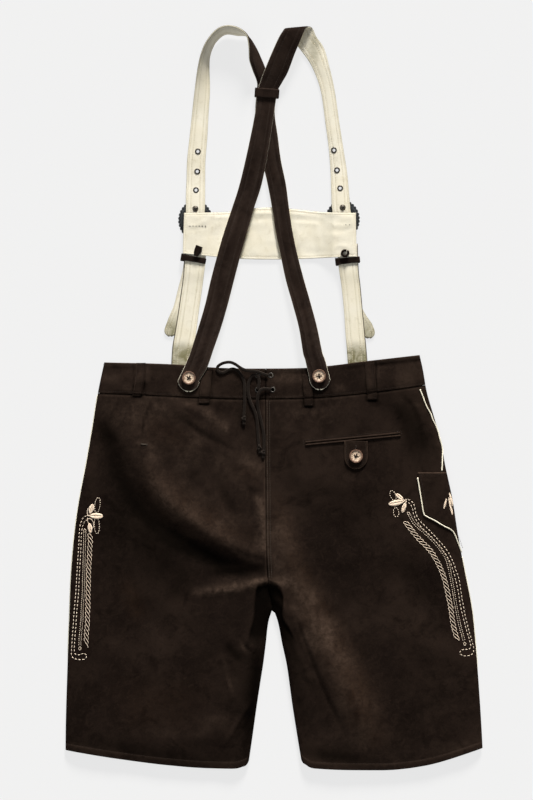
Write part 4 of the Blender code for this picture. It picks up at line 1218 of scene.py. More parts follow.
# %% Pocket lips and tab
WELT_LEFT, WELT_RIGHT = np.array([50.0, -72.0]), np.array([202.0, -57.0])
WELT_RUN = unit(WELT_RIGHT - WELT_LEFT)
WELT_UP = np.array([-WELT_RUN[1], WELT_RUN[0]])
WELT_LENGTH = float(np.linalg.norm(WELT_RIGHT - WELT_LEFT))
POCKET_BUTTON = (131, -92)
TAB_MIDDLE, TAB_HALF, TAB_ROUND_FROM = 131, 18.5, -94.0
TAB_TOP, TAB_LOW = -68.0, -112.6


def welt_place(along, up):
    """A place in the pocket's own frame, in mm from the middle of its left end."""
    return [WELT_LEFT[k] + WELT_RUN[k] * along + WELT_UP[k] * up for k in (0, 1)]


def build_lip(name, side):
    u, v = share_grid(90, 9)
    off = (0.3 + 4.4 * v) if side > 0 else (-0.3 - 4.4 * (1 - v))
    x, y = welt_place(u * WELT_LENGTH, off)
    fold = abs(off)
    lift = 1.45 + 1.1 * bump(fold - 2.2, 1.5) - 0.9 * bump(fold, 0.6) - 0.9 * bump(fold - 4.6, 0.8)
    lift += 0.2 * noise(x / 9, y / 3, 5)
    grid = np.stack([x, y, panel_height(x, y) + lift], axis=-1)
    # Paler along the folded crest; painted shade in the slit and along the outer edge.
    make_sheet(f"{name}_suede", grid, 1.2, "suede", [name], "folded", ["back_half_right"],
               rub=0.5 * bump(fold - 2.0, 1.1),
               deep=0.9 * bump(fold, 0.9) + 0.7 * bump(fold - 4.7, 0.7))


build_lip("pocket_welt_upper", 1)
build_lip("pocket_welt_lower", -1)


def tab_half_width(y, end_length, least):
    """Half of the tab's width, which draws in to its round end."""
    past = np.maximum(TAB_ROUND_FROM - y, 0) / end_length
    return TAB_HALF * np.sqrt(np.clip(1 - past ** 2, least, 1))


def tab_face(x, y):
    """Height of the tab's outer face, over the lips and the back."""
    edge = np.minimum(tab_half_width(y, 19, 0.06) - abs(x - TAB_MIDDLE), TAB_TOP - y + 3)
    lift = 3.5 - 0.8 * bump(edge, 1.0) - 0.35 * bump(edge - 3, 0.7) + 0.4 * bump(y + 72, 6)
    return panel_height(x, y) + lift + 0.15 * noise(x / 8, y / 8, 5)


def build_tab():
    u, v = share_grid(31, 42, 0.6)
    y = TAB_LOW + (TAB_TOP - TAB_LOW) * v
    half = tab_half_width(y, 18.75, 0.003)
    x = TAB_MIDDLE + (2 * u - 1) * half
    grid = np.stack([x, y, tab_face(x, y)], axis=-1)
    edge = np.minimum(np.minimum(u, 1 - u) * 2 * half, y - TAB_LOW)
    make_sheet("pocket_tab_suede", grid, 1.6, "suede", ["pocket_tab"], "laid",
               ["pocket_welt_lower_suede"], rub=0.8 * bump(edge, 1.4))


build_tab()

# %% [markdown]
# ## The knife pocket
# On the right hip a narrow pocket for a knife wraps round the side seam, so from behind only its
# back edge and a strip of it show. Cream piping runs along that edge.

# %% Knife pocket
KNIFE_EDGE = [(-118, 229.5), (-126, 230.5), (-151, 234.8), (-169, 237.6), (-181, 239.8),
              (-186, 242.4), (-193, 256), (-201.5, 270), (-210, 284.5), (-220, 290.5),
              (-237, 296.8), (-246, 300)]


KNIFE_TOP, KNIFE_LOW = KNIFE_EDGE[0][0], KNIFE_EDGE[-1][0]


def knife_face(x, y):
    """Height of the knife pocket's outer face."""
    edge = x - read_curve(KNIFE_EDGE, y)
    top = KNIFE_TOP - y
    lift = 2.3 - 0.7 * bump(edge, 1.0) - 0.8 * bump(top, 0.9) - 0.35 * bump(top - 4.0, 0.8)
    return panel_height(x, y) + lift + 0.3 * noise(x / 14, y / 18, 4)


def build_knife_pocket():
    u, v = share_grid(46, 70, 0, 0.4)
    y = KNIFE_LOW + (KNIFE_TOP - KNIFE_LOW) * v
    start, end = read_curve(KNIFE_EDGE, y), read_curve(SIDE_RIGHT, y)
    x = start + (end - start) * (1 - (1 - u) ** 2.2)
    grid = np.stack([x, y, knife_face(x, y)], axis=-1)
    make_sheet("knife_pocket_suede", grid, 1.6, "suede", ["knife_pocket"], "laid",
               ["back_half_right"],
               rub=0.8 * bump(KNIFE_TOP - y, 1.6) + 0.3 * bump(x - start, 2))


build_knife_pocket()

# %% [markdown]
# ## Piping
# Piping is a cord wrapped in a strip of cream leather and caught in a seam. Down each side seam it
# runs between back and front. On the right hip it climbs over the back, and a second length edges
# the knife pocket. It is not quite even, as it is sewn by hand pressure.

# %% Piping runs
PIPE = 1.9
RIGHT_PIPING = [(233.2, 14.5), (237.6, 4), (241.1, -5.6), (245.3, -15.2), (250.6, -24.8),
                (254, -34.4), (258.7, -44), (262.1, -53.6), (264.6, -63.2), (267.2, -72.8),
                (269.1, -82.4), (269, -92), (268.4, -108), (267.8, -116)]


def side_run(table, sign, high, low, tuck_from):
    y = np.linspace(high, low, 22)
    tuck = 1.7 * smoothstep(tuck_from, tuck_from - 30, y)
    return np.column_stack([read_curve(table, y) + sign * (0.2 - tuck), y, np.full(22, 1.45)])


def add_piping(name, path):
    fine = even_path(path, 2.2)
    fine = fine + 0.12 * noise(np.arange(len(fine))[:, None] / 3.0, np.arange(3)[None, :] * 7.3, 3)
    piece = add_strip(f"{name}_leather", fine, PIPE, PIPE, 10)
    own(piece, "cream_piping", name)
    print(name, len(fine), "rings")


add_piping("piping_left", side_run(SIDE_LEFT, -1, 6, -552, -405))
add_piping("piping_right", side_run(SIDE_RIGHT, 1, -254, -548, -418))
hip = smooth_path(RIGHT_PIPING, 2)
add_piping("piping_hip", put_on(panel_height, hip[:, 0], hip[:, 1], 1.1)[0])
border = even_path([(x, y, 0) for y, x in KNIFE_EDGE[1:]], 6)
heading = unit(np.gradient(border, axis=0))
edge_x, edge_y = border[:, 0] + heading[:, 1] * 1.2, border[:, 1] - heading[:, 0] * 1.2
add_piping("piping_pocket", put_on(panel_height, edge_x, edge_y, 1.5)[0])

# %% [markdown]
# ## The braces
# Each brace is one long strap of two layers: dark suede outside, cream leather inside. It buttons
# to the waistband at the back, goes over the shoulder, where it folds over and shows its cream
# side, and ends in a round tongue. Rows give both edges of the strap's middle from end to end, so
# that the fold and the twist are in the rows themselves.

# %% Strap rows
def full_rows(rows):
    """Left x, y, z and right x, y, z. A level row is given as left x, right x, y, z."""
    return [(row[0], *row[2:], row[1], *row[2:]) if len(row) == 4 else row for row in rows]


STRAP_A = full_rows([
    (-153, -119.5, 29, 15.9), (-144.5, -108.5, 47, 15.6), (-139, -103.3, 60, 15.5),
    (-133.5, -98.5, 74, 15.4), (-121, -85, 113, 14.0), (-110, -74, 151, 11.0),
    (-101, -64, 190, 9.5), (-91, -54, 228, 9.5), (-80, -43, 266, 9.0), (-67, -32, 305, 8.5),
    (-55, -20, 343, 8.0), (-42, -9, 398, 8.0), (-30, 0, 458, 8.0), (-27, 5, 490, 8.2),
    (-22, 506, 10.5, 13, 506, 10.2), (-16, 522, 14.0, 22, 522, 12.5),
    (-4, 551, 17.5, 33, 551, 16.5), (8, 577, 20.5, 44, 577, 19.5), (15, 588, 19.5, 51, 592, 18.5),
    (18, 591, 13.0, 57, 594, 12.5), (21, 588, 6.0, 62, 592, 6.5), (28, 577, 3.2, 68, 579, 4.0),
    (45, 556, 1.8, 80, 561, 3.2), (61, 532, 1.6, 89, 530, 3.5), (75, 494, 1.6, 97, 494, 2.2),
    (83, 105, 439, 1.6), (88, 111, 401, 1.6), (91, 117, 362, 1.6), (92, 120, 330, 2.8),
    (93, 122, 306, 3.5), (98, 126, 270, 3.6), (106, 131, 232, 3.4), (107, 132, 206, 3.3),
    (110, 136.5, 176, 1.7), (114.5, 139.5, 150, 1.6), (121, 147, 134, 1.6), (128, 156, 121, 1.6),
    (132, 160, 112, 1.6),
])
STRAP_B = full_rows([
    (57, 89, 32, 15.9), (53, 84.5, 50, 15.6), (50, 81, 63, 15.5), (46.5, 77, 74, 15.4),
    (40, 69, 113, 14.0), (30, 59, 151, 10.5), (19, 48, 190, 8.0), (11, 38, 228, 7.0),
    (3, 30, 266, 6.2), (-3, 24, 305, 5.0), (-10, 19, 343, 4.5), (-19, 11, 382, 4.5),
    (-27, 6, 420, 4.5), (-30, 1, 458, 4.5), (-28, 490, 4.6, 4, 488, 4.5),
    (-27, 506, 6.5, 1, 503, 3.8), (-34, 525, 17.0, -10, 520, 3.0), (-39, 541, 27.0, -19, 541, 3.0),
    (-40, 562, 32.0, -29, 562, 3.0), (-44, 580, 34.0, -42, 580, 3.0),
    (-58, 591, 34.0, -58, 582, 3.0), (-76, 594, 33.0, -76, 584, 3.0),
    (-92, 588, 30.0, -88, 577, 3.0), (-107, 571, 26.0, -97, 565, 2.5),
    (-116, 552, 21.0, -103, 548, 2.2), (-122, 528, 14.0, -104, 528, 1.9),
    (-127, 494, 6.0, -103, 494, 1.7), (-131, 458, 1.8, -105, 458, 1.6), (-135, -107, 420, 1.6),
    (-139, -110, 382, 1.6), (-140, -110.5, 350, 1.6), (-141, -110.5, 326, 2.8),
    (-141, -111, 302, 3.5), (-141, -113, 270, 3.6), (-143, -117, 234, 3.4),
    (-146, -120.5, 206, 3.3), (-153.5, -127.5, 176, 1.7), (-160, -134, 150, 1.6),
    (-167.5, -139.5, 132, 1.6), (-174, -146, 115, 1.6),
])
LOWER_LEFT = full_rows([
    (-142, -108, 248, 6.6), (-143, -110, 217, 6.5), (-144, -112, 200, 6.4),
    (-146.5, -114.5, 180, 5.2), (-152, -120, 142, 5.0), (-158, -125, 104, 5.0),
    (-162, -128.5, 80, 4.8), (-165, -133, 30, 3.5), (-168, -136, 14, 3.5),
])
LOWER_RIGHT = full_rows([
    (101, 133, 248, 6.6), (103, 134, 217, 6.5), (105, 135, 200, 6.4), (108, 137.5, 180, 5.2),
    (112, 141, 142, 5.0), (114.5, 144.5, 104, 5.0), (116.5, 147, 80, 4.8), (120, 151, 30, 3.5),
    (121, 152, 14, 3.5),
])
EYELETS_B = [(-122, 396), (-123, 364), (-125, 334), (-126, 304)]
EYELETS_A = [(96, 398), (101, 366), (106, 337), (110, 306)]
STRAP_BUTTONS = {"strap_button_left": (-136, 33), "strap_button_right": (72, 36)}


def button_level(x, y):
    """Middle of a strap's two layers where it lies over a belt loop on the waistband."""
    return float(back_height(x, y)) + BAND_TOP + 2 * GAP + 1.9 + HALF_STACK


def rounded_end(row, towards, length, steps):
    left, right = np.array(row[:3], float), np.array(row[3:], float)
    middle, half = (left + right) / 2, (right - left) / 2
    rows = []
    for step in range(1, steps + 1):
        angle = math.pi / 2 * step / steps * 0.965
        centre = middle + np.array(towards) * length * math.sin(angle)
        rows.append((*(centre - half * math.cos(angle)), *(centre + half * math.cos(angle))))
    return rows


def strap_path(rows, steps=8):
    """Left edge, right edge and normal of a strap at each of its fine rows."""
    path = smooth_path(rows, steps)
    left, right = path[:, :3], path[:, 3:]
    along = np.gradient((left + right) / 2, axis=0)
    return left, right, unit(np.cross(right - left, along))


print("strap rows", len(STRAP_A), len(STRAP_B))

# %% [markdown]
# A row of a strap is not straight across: the cut edges are pressed together, the topstitches pull
# narrow grooves, and the middle stays a little full. Those are read off a profile by the distance
# from the nearest edge.

# %% Strap layers
SHARES = np.array([0, 0.012, 0.035, 0.07, 0.095, 0.12, 0.16, 0.22, 0.27, 0.32, 0.41, 0.5])
SHARES = np.concatenate([SHARES, 1 - SHARES[-2::-1]])
LINES = (0.095, 0.27)


def strap_relief(share, width, place):
    """How far a strap's face stands out: thin at its edges, with a groove for each stitch line."""
    near = np.minimum(share, 1 - share)
    edge = near * width
    lift = -0.55 * bump(edge, 0.8) + 0.2 * smoothstep(2, 8, edge)
    for line in LINES:
        lift = lift - 0.38 * bump((near - line) * width, 0.8)
    return lift + 0.28 * noise(share * 2.2 + 5, place / 17, 4) * smoothstep(0, 3, edge)


def strap_layer(name, rows, side, node, rests_on, holes=()):
    """One layer; side +1 is the suede face, -1 the cream lining."""
    left, right, normal = strap_path(rows)
    long = run_along((left + right) / 2)
    width = np.linalg.norm(right - left, axis=1)[:, None]
    share, wider = SHARES[None, :], 0.0
    if name.startswith("strap") and side < 0:
        wider = 0.25 + 0.35 * (1 - smoothstep(48, 76, long))[:, None]
    spread_by = share + (share - 0.5) * 2 * wider / np.maximum(width, 6)
    lift = HALF_STACK + np.minimum(strap_relief(share, width, long[:, None]), 0.25)
    grid = (left[:, None] + (right - left)[:, None] * spread_by[..., None]
            + normal[:, None] * side * lift[..., None])
    near = np.minimum(share, 1 - share) * width
    worn = smoothstep(0, 0.8, noise(share * 3, long[:, None] / 40, 2))
    rub = np.clip(0.75 * bump(near, 1.3) + 0.22 * worn, 0, 1) * np.ones_like(lift)
    deep = np.zeros_like(rub)
    lines = sum(bump(near - line * width, 0.7) for line in LINES)
    if side > 0:
        streaks = smoothstep(0.1, 0.7, noise(share * 11, long[:, None] / 70, 5))
        rub = rub + 0.20 * lines + 0.22 * streaks
    else:
        # On the cream lining the pale value becomes painted shade at the edges. Olive painted shade
        # lies towards the waist, where the waistband shades the strap, in the fold over the right
        # shoulder, in the stitch grooves and along the edges.
        grid, rub = grid[:, ::-1], rub[:, ::-1] * 0.45
        shade_span = (102, 150) if name.startswith("strap") else (72, 98)
        cream_shade = 1 - smoothstep(*shade_span, grid[..., 1])
        fold = np.hypot((grid[..., 0] - 64) / 10, (grid[..., 1] - 562) / 24)
        cream_shade = cream_shade + (0.85 * bump(fold, 1) if name.startswith("strap_a") else 0)
        in_front = name.startswith("lower") | (long > 0.45 * long[-1])[:, None]
        deep = (cream_shade + 0.30 * lines[:, ::-1] + 0.5 * bump(near[:, ::-1], 0.7)) * in_front
    piece = make_sheet(name, grid, STRAP_WALL, "strap_suede" if side > 0 else "cream_leather",
                       [node], "laid", rests_on, rub=rub, deep=deep)
    if holes:
        drill(piece, holes, 3.2, 18)
        piece.data.shade_smooth()


def middle_height(rows, y):
    """Height of a strap's middle at y, in front, where it lies low."""
    front = [(row[1], (row[2] + row[5]) / 2) for row in rows if row[1] < 530 and row[2] < 7]
    return float(read_curve(front[-16:], y))


def whole_strap(rows, out, back_end, front_end):
    """All rows of a brace: round end at the button, its length, round tongue in front."""
    back = rounded_end(rows[0], (0, -1, 0), back_end, 7)[::-1]
    return back + rows + rounded_end(rows[-1], (out, -0.92, 0), front_end, 6)


STRAPS = {"strap_a": (STRAP_A, EYELETS_A, 0.4, "left"),
          "strap_b": (STRAP_B, EYELETS_B, -0.4, "right")}
FULL_ROWS, EYELET_PLACES = {}, {}
for name, (rows, eyelets, out, side) in STRAPS.items():
    FULL_ROWS[name] = whole_strap(rows, out, 17, 16)
    EYELET_PLACES[name] = [(x, y, middle_height(rows, y)) for x, y in eyelets]
    strap_layer(f"{name}_suede", FULL_ROWS[name], 1, f"{name}_face",
                [f"waistband_half_{side}"], EYELET_PLACES[name])
    strap_layer(f"{name}_cream", whole_strap(rows, out, 17.6, 16.2), -1, f"{name}_lining",
                [f"{name}_suede"], EYELET_PLACES[name])
for side, rows, out in (("left", LOWER_LEFT, -1.1), ("right", LOWER_RIGHT, 1.1)):
    set_out = [(row[0] + out, *row[1:3], row[3] + out, *row[4:]) for row in rows]
    strap_layer(f"lower_strap_{side}_suede", set_out, 1, f"lower_strap_{side}_face",
                ["waistband_front_suede"])
    strap_layer(f"lower_strap_{side}_cream", rows, -1, f"lower_strap_{side}_lining",
                [f"lower_strap_{side}_suede"])

# %% [markdown]
# ## The chest crossbar
# The crossbar joins the two front straps across the chest. Seen from behind, its cream lining is
# up. It is a wide strip of the same two layers, tacked at both ends, so it shows soft bends between
# them and a row of stitches round its edge.

# %% Crossbar
BAR_TOP = [(-144, 297), (-72, 299), (-29, 305), (-3, 306), (26, 304), (86, 298), (131, 297)]
BAR_BOTTOM = [(-146, 232), (-110, 228.5), (-51, 224), (11, 223), (46, 224), (98, 226), (132, 227)]
BAR_HEIGHT = [(-146, 9.9), (-107, 9.9), (-91, 6.0), (-70, 2.5), (-50, 1.5), (60, 1.5), (72, 2.5),
              (88, 7.0), (97, 9.9), (132, 9.9)]


def bar_place(u, v):
    """X and y of a place on the bar, from its shares along and across."""
    x_top, x_low = -144 + 275 * u, -146 + 278 * u
    low, high = read_curve(BAR_BOTTOM, x_low), read_curve(BAR_TOP, x_top)
    return x_low + (x_top - x_low) * v, low + (high - low) * v


BAR_BENDS = [
    (-143, 284, -128, 276, -100, 292, 3.5, 0.30), (-140, 276, -124, 270, -96, 284, 4.0, -0.25),
    (130, 284, 112, 276, 88, 280, 3.5, 0.30), (128, 274, 108, 268, 84, 270, 4.0, -0.25),
    (-34, 300, -36, 262, -30, 228, 6.0, 0.5), (64, 298, 70, 262, 76, 230, 6.0, 0.5),
    (20, 236, 40, 250, 52, 268, 5.0, 0.4), (96, 236, 104, 244, 122, 240, 3.5, 0.4),
    (-60, 292, 0, 297, 76, 290, 2.6, 0.35), (-52, 284, 8, 288, 70, 283, 2.6, -0.25),
    (-96, 288, -84, 290, -70, 290, 3.0, 0.35), (30, 279, 52, 281, 80, 276, 3.0, 0.25),
]


def bar_edge(u, v):
    """How far inside the edge of the bar, which is about 276 mm long and 74 mm wide."""
    return np.minimum(np.minimum(u, 1 - u) * 276, np.minimum(v, 1 - v) * 74)


def bar_relief(u, v, x, y):
    """How far the bar's lining stands out: thin edges, a stitch groove and soft bends."""
    edge = bar_edge(u, v)
    lift = (-0.15 - 0.40 * (v > 0.5)) * bump(edge, 0.8) - 0.3 * bump(edge - 3.2, 0.8)
    soft = smoothstep(1, 8, edge)
    lift += soft * (0.55 * noise(x / 32, y / 26, 6) + 0.2 * noise(x / 11, y / 9, 3))
    return lift + soft * fold_height(x, y, BAR_BENDS)


def build_bar():
    u, v = share_grid(150, 46, 0.7, 0.7)
    x, y = bar_place(u, v)
    level = read_curve(BAR_HEIGHT, x)
    relief = np.minimum(bar_relief(u, v, x, y), 1.2)
    upper = np.stack([x, y, level + HALF_STACK + relief], axis=-1)
    edge = bar_edge(u, v)
    # Painted shade on the lining beside the dark straps that lie over it, and at its edges, not the
    # lower one.
    beside = 0
    for low_x, high_x in ((-53.5, -31), (38.5, 24.5)):
        strap_edge = low_x + (high_x - low_x) * (y - 228) / 77
        beside = beside + bump(x - strap_edge, 6)
    under = ["strap_a_cream", "strap_b_cream"]
    make_sheet("crossbar_cream", upper, STRAP_WALL, "cream_leather", ["crossbar_lining"],
               "laid", under, rub=0.4 * bump(edge, 1.2) * (v > 0.1), deep=0.24 * beside)
    lower = np.stack([x, y, level - HALF_STACK + relief * 0.9], axis=-1)[:, ::-1]
    make_sheet("crossbar_suede", lower, STRAP_WALL, "strap_suede", ["crossbar_face"],
               "laid", under, rub=bump(edge, 1.2)[:, ::-1])


build_bar()

# %% [markdown]
# ## Rosettes
# Where the crossbar meets each strap, a pinked rosette of two felt discs is set under them, and
# only a crescent of it shows. Its edge is cut in small scallops. The discs are rings of points
# closed at the middle.

# %% Rosettes
ROSETTES = {"left": (-126, 286), "right": (110, 287)}
STRETCH = 1.14  # a rosette is a little longer than it is wide


def disc_mesh(name, centre, radius, scallops, level, wall, phase):
    """A round sheet with a scalloped rim, its underside at `level`."""
    count = scallops * 6
    angle = 2 * math.pi * np.arange(count) / count
    rim = radius - 1.7 + 1.7 * abs(np.sin((angle + phase) * scallops / 2)) ** 0.7
    rings = np.array([0.12, 0.3, 0.5, 0.66, 0.78, 0.84, 0.88, 0.93, 0.975, 1.0])
    r = rings[:, None] * rim[None, :]
    wave = 0.3 * np.cos(angle * scallops)[None, :] * smoothstep(0.6, 1.0, rings)[:, None]
    lift = 0.25 * wave - 0.2 * bump(r - radius * 0.84, 0.8) - 0.15 * bump(rings[:, None] - 1, 0.02)
    z = level + wall + np.minimum(lift, 0.12)
    points = np.stack([centre[0] + r * np.cos(angle), centre[1] + STRETCH * r * np.sin(angle), z],
                      axis=-1)
    middle = np.array([[centre[0], centre[1], level + wall]])
    faces = tube_faces(len(rings), count, 1)
    faces += [[0, 1 + j, 1 + (j + 1) % count] for j in range(count)]
    piece = link_mesh(name, np.vstack([middle, points.reshape(-1, 3)]), faces)
    paint(piece, "rub", np.concatenate([[0], (bump(rings - 1, 0.05)[:, None]
                                              * np.ones(count)).ravel()]))
    return thicken(piece, wall)


for side, centre in ROSETTES.items():
    lower = disc_mesh(f"rosette_{side}_lower", centre, 27.8, 32, 0.0, 0.7, 0.0)
    own(lower, "rosette_felt", f"rosette_{side}")
    upper = disc_mesh(f"rosette_{side}_upper", centre, 24.4, 28, 0.78, 0.7, 0.2)
    own(upper, "rosette_felt")
    for piece, size in ((lower, 0.0556), (upper, 0.0488)):
        size * STRETCH
        math.pi / 4 * STRETCH * (size - 0.0010) ** 2
    print("rosette", side, len(lower.data.polygons) + len(upper.data.polygons), "faces")

# %% [markdown]
# ## Keeper loop and ties
# A narrow suede loop keeps the two straps together where they cross. Lower down, each front strap
# is caught by a thong that is tied round it, with its ends left standing: on the left they stick
# up as a flat stub, on the right they curl into a small ring.

# %% Bands round the straps
HELD_BY = {"keeper_loop_suede": "strap_a_suede", "tie_left_thong": "strap_b_cream",
           "tie_right_thong": "strap_a_cream"}


def ring_band(name, node, centre, half, low, high, band, wall, turn, rough):
    """A band round a strap: its section is a rounded rectangle, in x and z."""
    corner = min(2.6, (high - low) / 2 + wall * 0.8)
    wide, tall = half + wall - corner, (high - low) / 2 + wall - corner
    middle = (low + high) / 2
    loop = []
    for cx, cz, start in ((wide, tall, 0), (-wide, tall, 90), (-wide, -tall, 180),
                          (wide, -tall, 270)):
        for step in range(7):
            angle = math.radians(start + 15 * step)
            loop.append((cx + corner * math.cos(angle), middle + cz + corner * math.sin(angle)))
    loop = np.array(loop + loop[:1])
    along = run_along(loop)
    marks = np.linspace(0, along[-1], 121)[:-1]
    loop = read_rows(marks, along, loop)
    share = crowd(13, 0.6)
    edge = np.minimum(share, 1 - share) * band
    uneven = rough * noise(marks[:, None] / 6, share[None, :] * 0, 6)
    across = (share[None, :] - 0.5) * (band + uneven)
    squeeze = (0.5 * bump(edge, 0.8) + 0.1 * noise(marks[:, None] / 5, share[None, :] * 3, 5))
    outward = unit(np.gradient(loop, axis=0)[:, ::-1] * (1, -1))
    place = loop[:, None, :] - outward[:, None, :] * np.maximum(squeeze, 0)[..., None]
    x, y = turned(place[..., 0], across, math.radians(turn))
    grid = np.stack([centre[0] + x, centre[1] + y, place[..., 1]], axis=-1)[:, ::-1]
    make_sheet(name, grid, wall, "strap_suede", [node], "folded", [HELD_BY[name]], closed=True,
               rub=0.8 * bump(edge, 1.0)[None, ::-1] * np.ones((len(grid), 1)))


ring_band("keeper_loop_suede", "keeper_loop", (-11.3, 489), 17.3, 4.5 - HALF_STACK - GAP,
          8.2 + HALF_STACK + 4 * GAP, 14, 1.2, -4, 0.35)
ring_band("tie_left_thong", "tie_left", (-129.2, 223.2), 18.4, 1.25, 8.4, 9.8, 1.0, -10, 2.2)
ring_band("tie_right_thong", "tie_right", (118, 220.8), 17.9, 1.25, 8.4, 10.4, 1.0, 6, 2.2)

# %% Stub and curl of the ties
def add_stub(name, node, place, turn):
    """Two thong ends, pressed together: a block drawn in at the foot, split down the middle."""
    bpy.ops.object.select_all(action="DESELECT")
    bpy.ops.mesh.primitive_cube_add(size=1, location=[v * MM for v in place])
    stub = bpy.context.object
    stub.name = name
    stub.scale = (11.3 * MM, 17.0 * MM, 3.8 * MM)
    bpy.ops.object.transform_apply(location=False, rotation=False, scale=True)
    edit_all(stub, (bpy.ops.mesh.subdivide, {"number_cuts": 5}))
    for vertex in stub.data.vertices:
        x, y, z = vertex.co / MM
        drawn = 1 - 0.28 * max(0.0, -y / 6) ** 1.5
        sag = 0.6 * math.sin(x * 0.9) + 0.5 * float(noise(np.array(x / 3.0), np.array(y / 3.0)))
        split = -0.7 if abs(x - 0.6) < 0.7 and z > 1 and y > -2 else 0
        vertex.co = Vector((x * drawn, y, z * (0.75 + 0.25 * drawn) + sag * 0.35 + split)) * MM
    stub.rotation_euler = (math.radians(6), 0, math.radians(turn))
    bpy.ops.object.transform_apply(location=True, rotation=True, scale=False)
    round_edges(stub, 0.5, 2)
    smooth = stub.modifiers.new("soft form", "SUBSURF")
    smooth.levels = smooth.render_levels = 1
    apply_all(stub)
    stub.data.shade_smooth()
    own(stub, "strap_suede", node)


add_stub("tie_left_stub", "tie_knot_left", (-122.3, 235.7, 13.6), -20)
t = np.linspace(0.35 * math.pi, 2.27 * math.pi, 44)
radius = 4.7 + 0.10 * (t - t[0])
curl = np.column_stack([113.5 + radius * np.cos(t), 232.4 + radius * np.sin(t) * 0.95,
                        13.4 + 0.40 * (t - t[0]) / math.pi])
curl_piece = add_strip("tie_right_curl", curl, 3.6, 5.0, 12)
own(curl_piece, "strap_suede", "tie_knot_right")
print("tie ends", len(curl_piece.data.polygons))

# %% [markdown]
# ## The front, underneath
# The garment rests on its front, so the two front legs, the wide flap and the front of the
# waistband are flat on the floor and are kept plain. Each takes its solid's outline, with the mesh
# merged, its edges rounded, and the same suede.

# %% Front pieces
def plain_copy(name, node):
    """A piece of suede in the place of a solid, made from the solid's own mesh."""
    piece = link_object(name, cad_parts[node].data.copy())
    edit_all(piece, (bpy.ops.mesh.remove_doubles, {"threshold": 0.00002}),
             (bpy.ops.mesh.dissolve_limited, {"angle_limit": math.radians(2)}))
    round_edges(piece, 0.45, 2, 50)
    apply_all(piece)
    bpy.ops.object.shade_smooth_by_angle(angle=math.radians(35))
    own(piece, "suede", node)
    low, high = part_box(node)
    top = [f.area for f in piece.data.polygons if f.normal.z > 0.9]
    CUTS[name] = (round((high.x - low.x) * 1000), round((high.y - low.y) * 1000),
                  round(sum(top) * 1e4))
    print(name, len(piece.data.polygons), "faces")


for node in ("front_left", "front_right", "front_flap", "waistband_front"):
    plain_copy(f"{node}_suede", node)

# %% [markdown]
# ## Antler buttons
# A button is turned from a slice of antler: a raised rim, a dished middle and four holes. One is
# modelled with the tools of edit mode, on its own axis, from a cylinder whose top face is inset
# again and again. The rings of points that this leaves carry the value that the horn finish reads.

# %% Model one button
BUTTON_RADIUS = 11


def select_faces(piece, test):
    bpy.ops.mesh.select_mode(type="FACE")
    bpy.ops.mesh.select_all(action="DESELECT")
    bpy.ops.object.mode_set(mode="OBJECT")
    for face in piece.data.polygons:
        face.select = bool(test(face))
    bpy.ops.object.mode_set(mode="EDIT")


def model_button():
    bpy.ops.object.select_all(action="DESELECT")
    bpy.ops.mesh.primitive_cylinder_add(vertices=48, radius=BUTTON_RADIUS * MM, depth=4.2 * MM,
                                        location=(0, 0, 2.1 * MM))
    button = bpy.context.object
    bpy.ops.object.transform_apply(location=True, rotation=False, scale=False)
    bpy.ops.object.mode_set(mode="EDIT")
    select_faces(button, lambda f: f.normal.z < -0.9)
    bpy.ops.transform.resize(value=(0.84, 0.84, 1))
    select_faces(button, lambda f: f.normal.z > 0.9)
    for thickness, rise in ((0.9, 0.0), (0.9, 0.0), (0.9, -0.35), (0.8, -0.6), (0.9, -0.25),
                            (1.2, -0.1), (1.5, 0.0), (1.5, 0.0), (1.2, 0.0)):
        bpy.ops.mesh.inset(thickness=thickness * MM, depth=0)
        bpy.ops.transform.translate(value=(0, 0, rise * MM))
    bpy.ops.object.mode_set(mode="OBJECT")
    round_edges(button, 0.9, 3, 40)
    apply_all(button)
    places = [(dx * 2.3, dy * 2.3, 2.0) for dx in (-1, 1) for dy in (-1, 1)]
    drill(button, places, 1.25, 12, 14)
    return button


MODEL_BUTTON = model_button()
print("button", len(MODEL_BUTTON.data.polygons), "faces")

# %% Sew on three buttons
def place_copy(model, name, place, turn=0.0, uneven=0.0):
    """A copy with its own mesh, its place kept in the mesh."""
    piece = link_object(name, model.data.copy())
    for vertex in piece.data.vertices:
        x, y, z = vertex.co
        stretch = 1 + uneven * math.sin(2 * math.atan2(y, x) + turn * 3)
        x, y = turned(x * stretch, y, turn)
        vertex.co = (x + place[0] * MM, y + place[1] * MM, z + place[2] * MM)
    return piece


def button_rest(name):
    """Where a button lies, clear of the layers under it."""
    if name == "pocket_button":
        x, y = POCKET_BUTTON
        tops = [float(tab_face(x + dx, y + dy)) for dx in (-9, 0, 9) for dy in (-9, 0, 9)]
        return x, y, max(tops) + 0.1
    x, y = STRAP_BUTTONS[name]
    top = max(button_level(x + dx, y + dy) for dx in (-15, 0, 15) for dy in (-4, 14))
    return x, y, top + 0.4 + HALF_STACK + GAP


BUTTONS = {}
for name, turn in (("strap_button_left", 0.2), ("strap_button_right", 0.9), ("pocket_button", 0.5)):
    place = button_rest(name)
    piece = place_copy(MODEL_BUTTON, f"{name}_antler", place, turn, 0.012)
    offset = np.array([vertex.co[:2] for vertex in piece.data.vertices]) / MM - place[:2]
    paint(piece, "ring", np.linalg.norm(offset, axis=1) / BUTTON_RADIUS)
    pick(piece)
    bpy.ops.object.shade_smooth_by_angle(angle=math.radians(35))
    own(piece, "horn", name)
    BUTTONS[name] = (place, turn)
bpy.data.objects.remove(MODEL_BUTTON)
print("buttons", {name: np.round(place, 1).tolist() for name, (place, turn) in BUTTONS.items()})

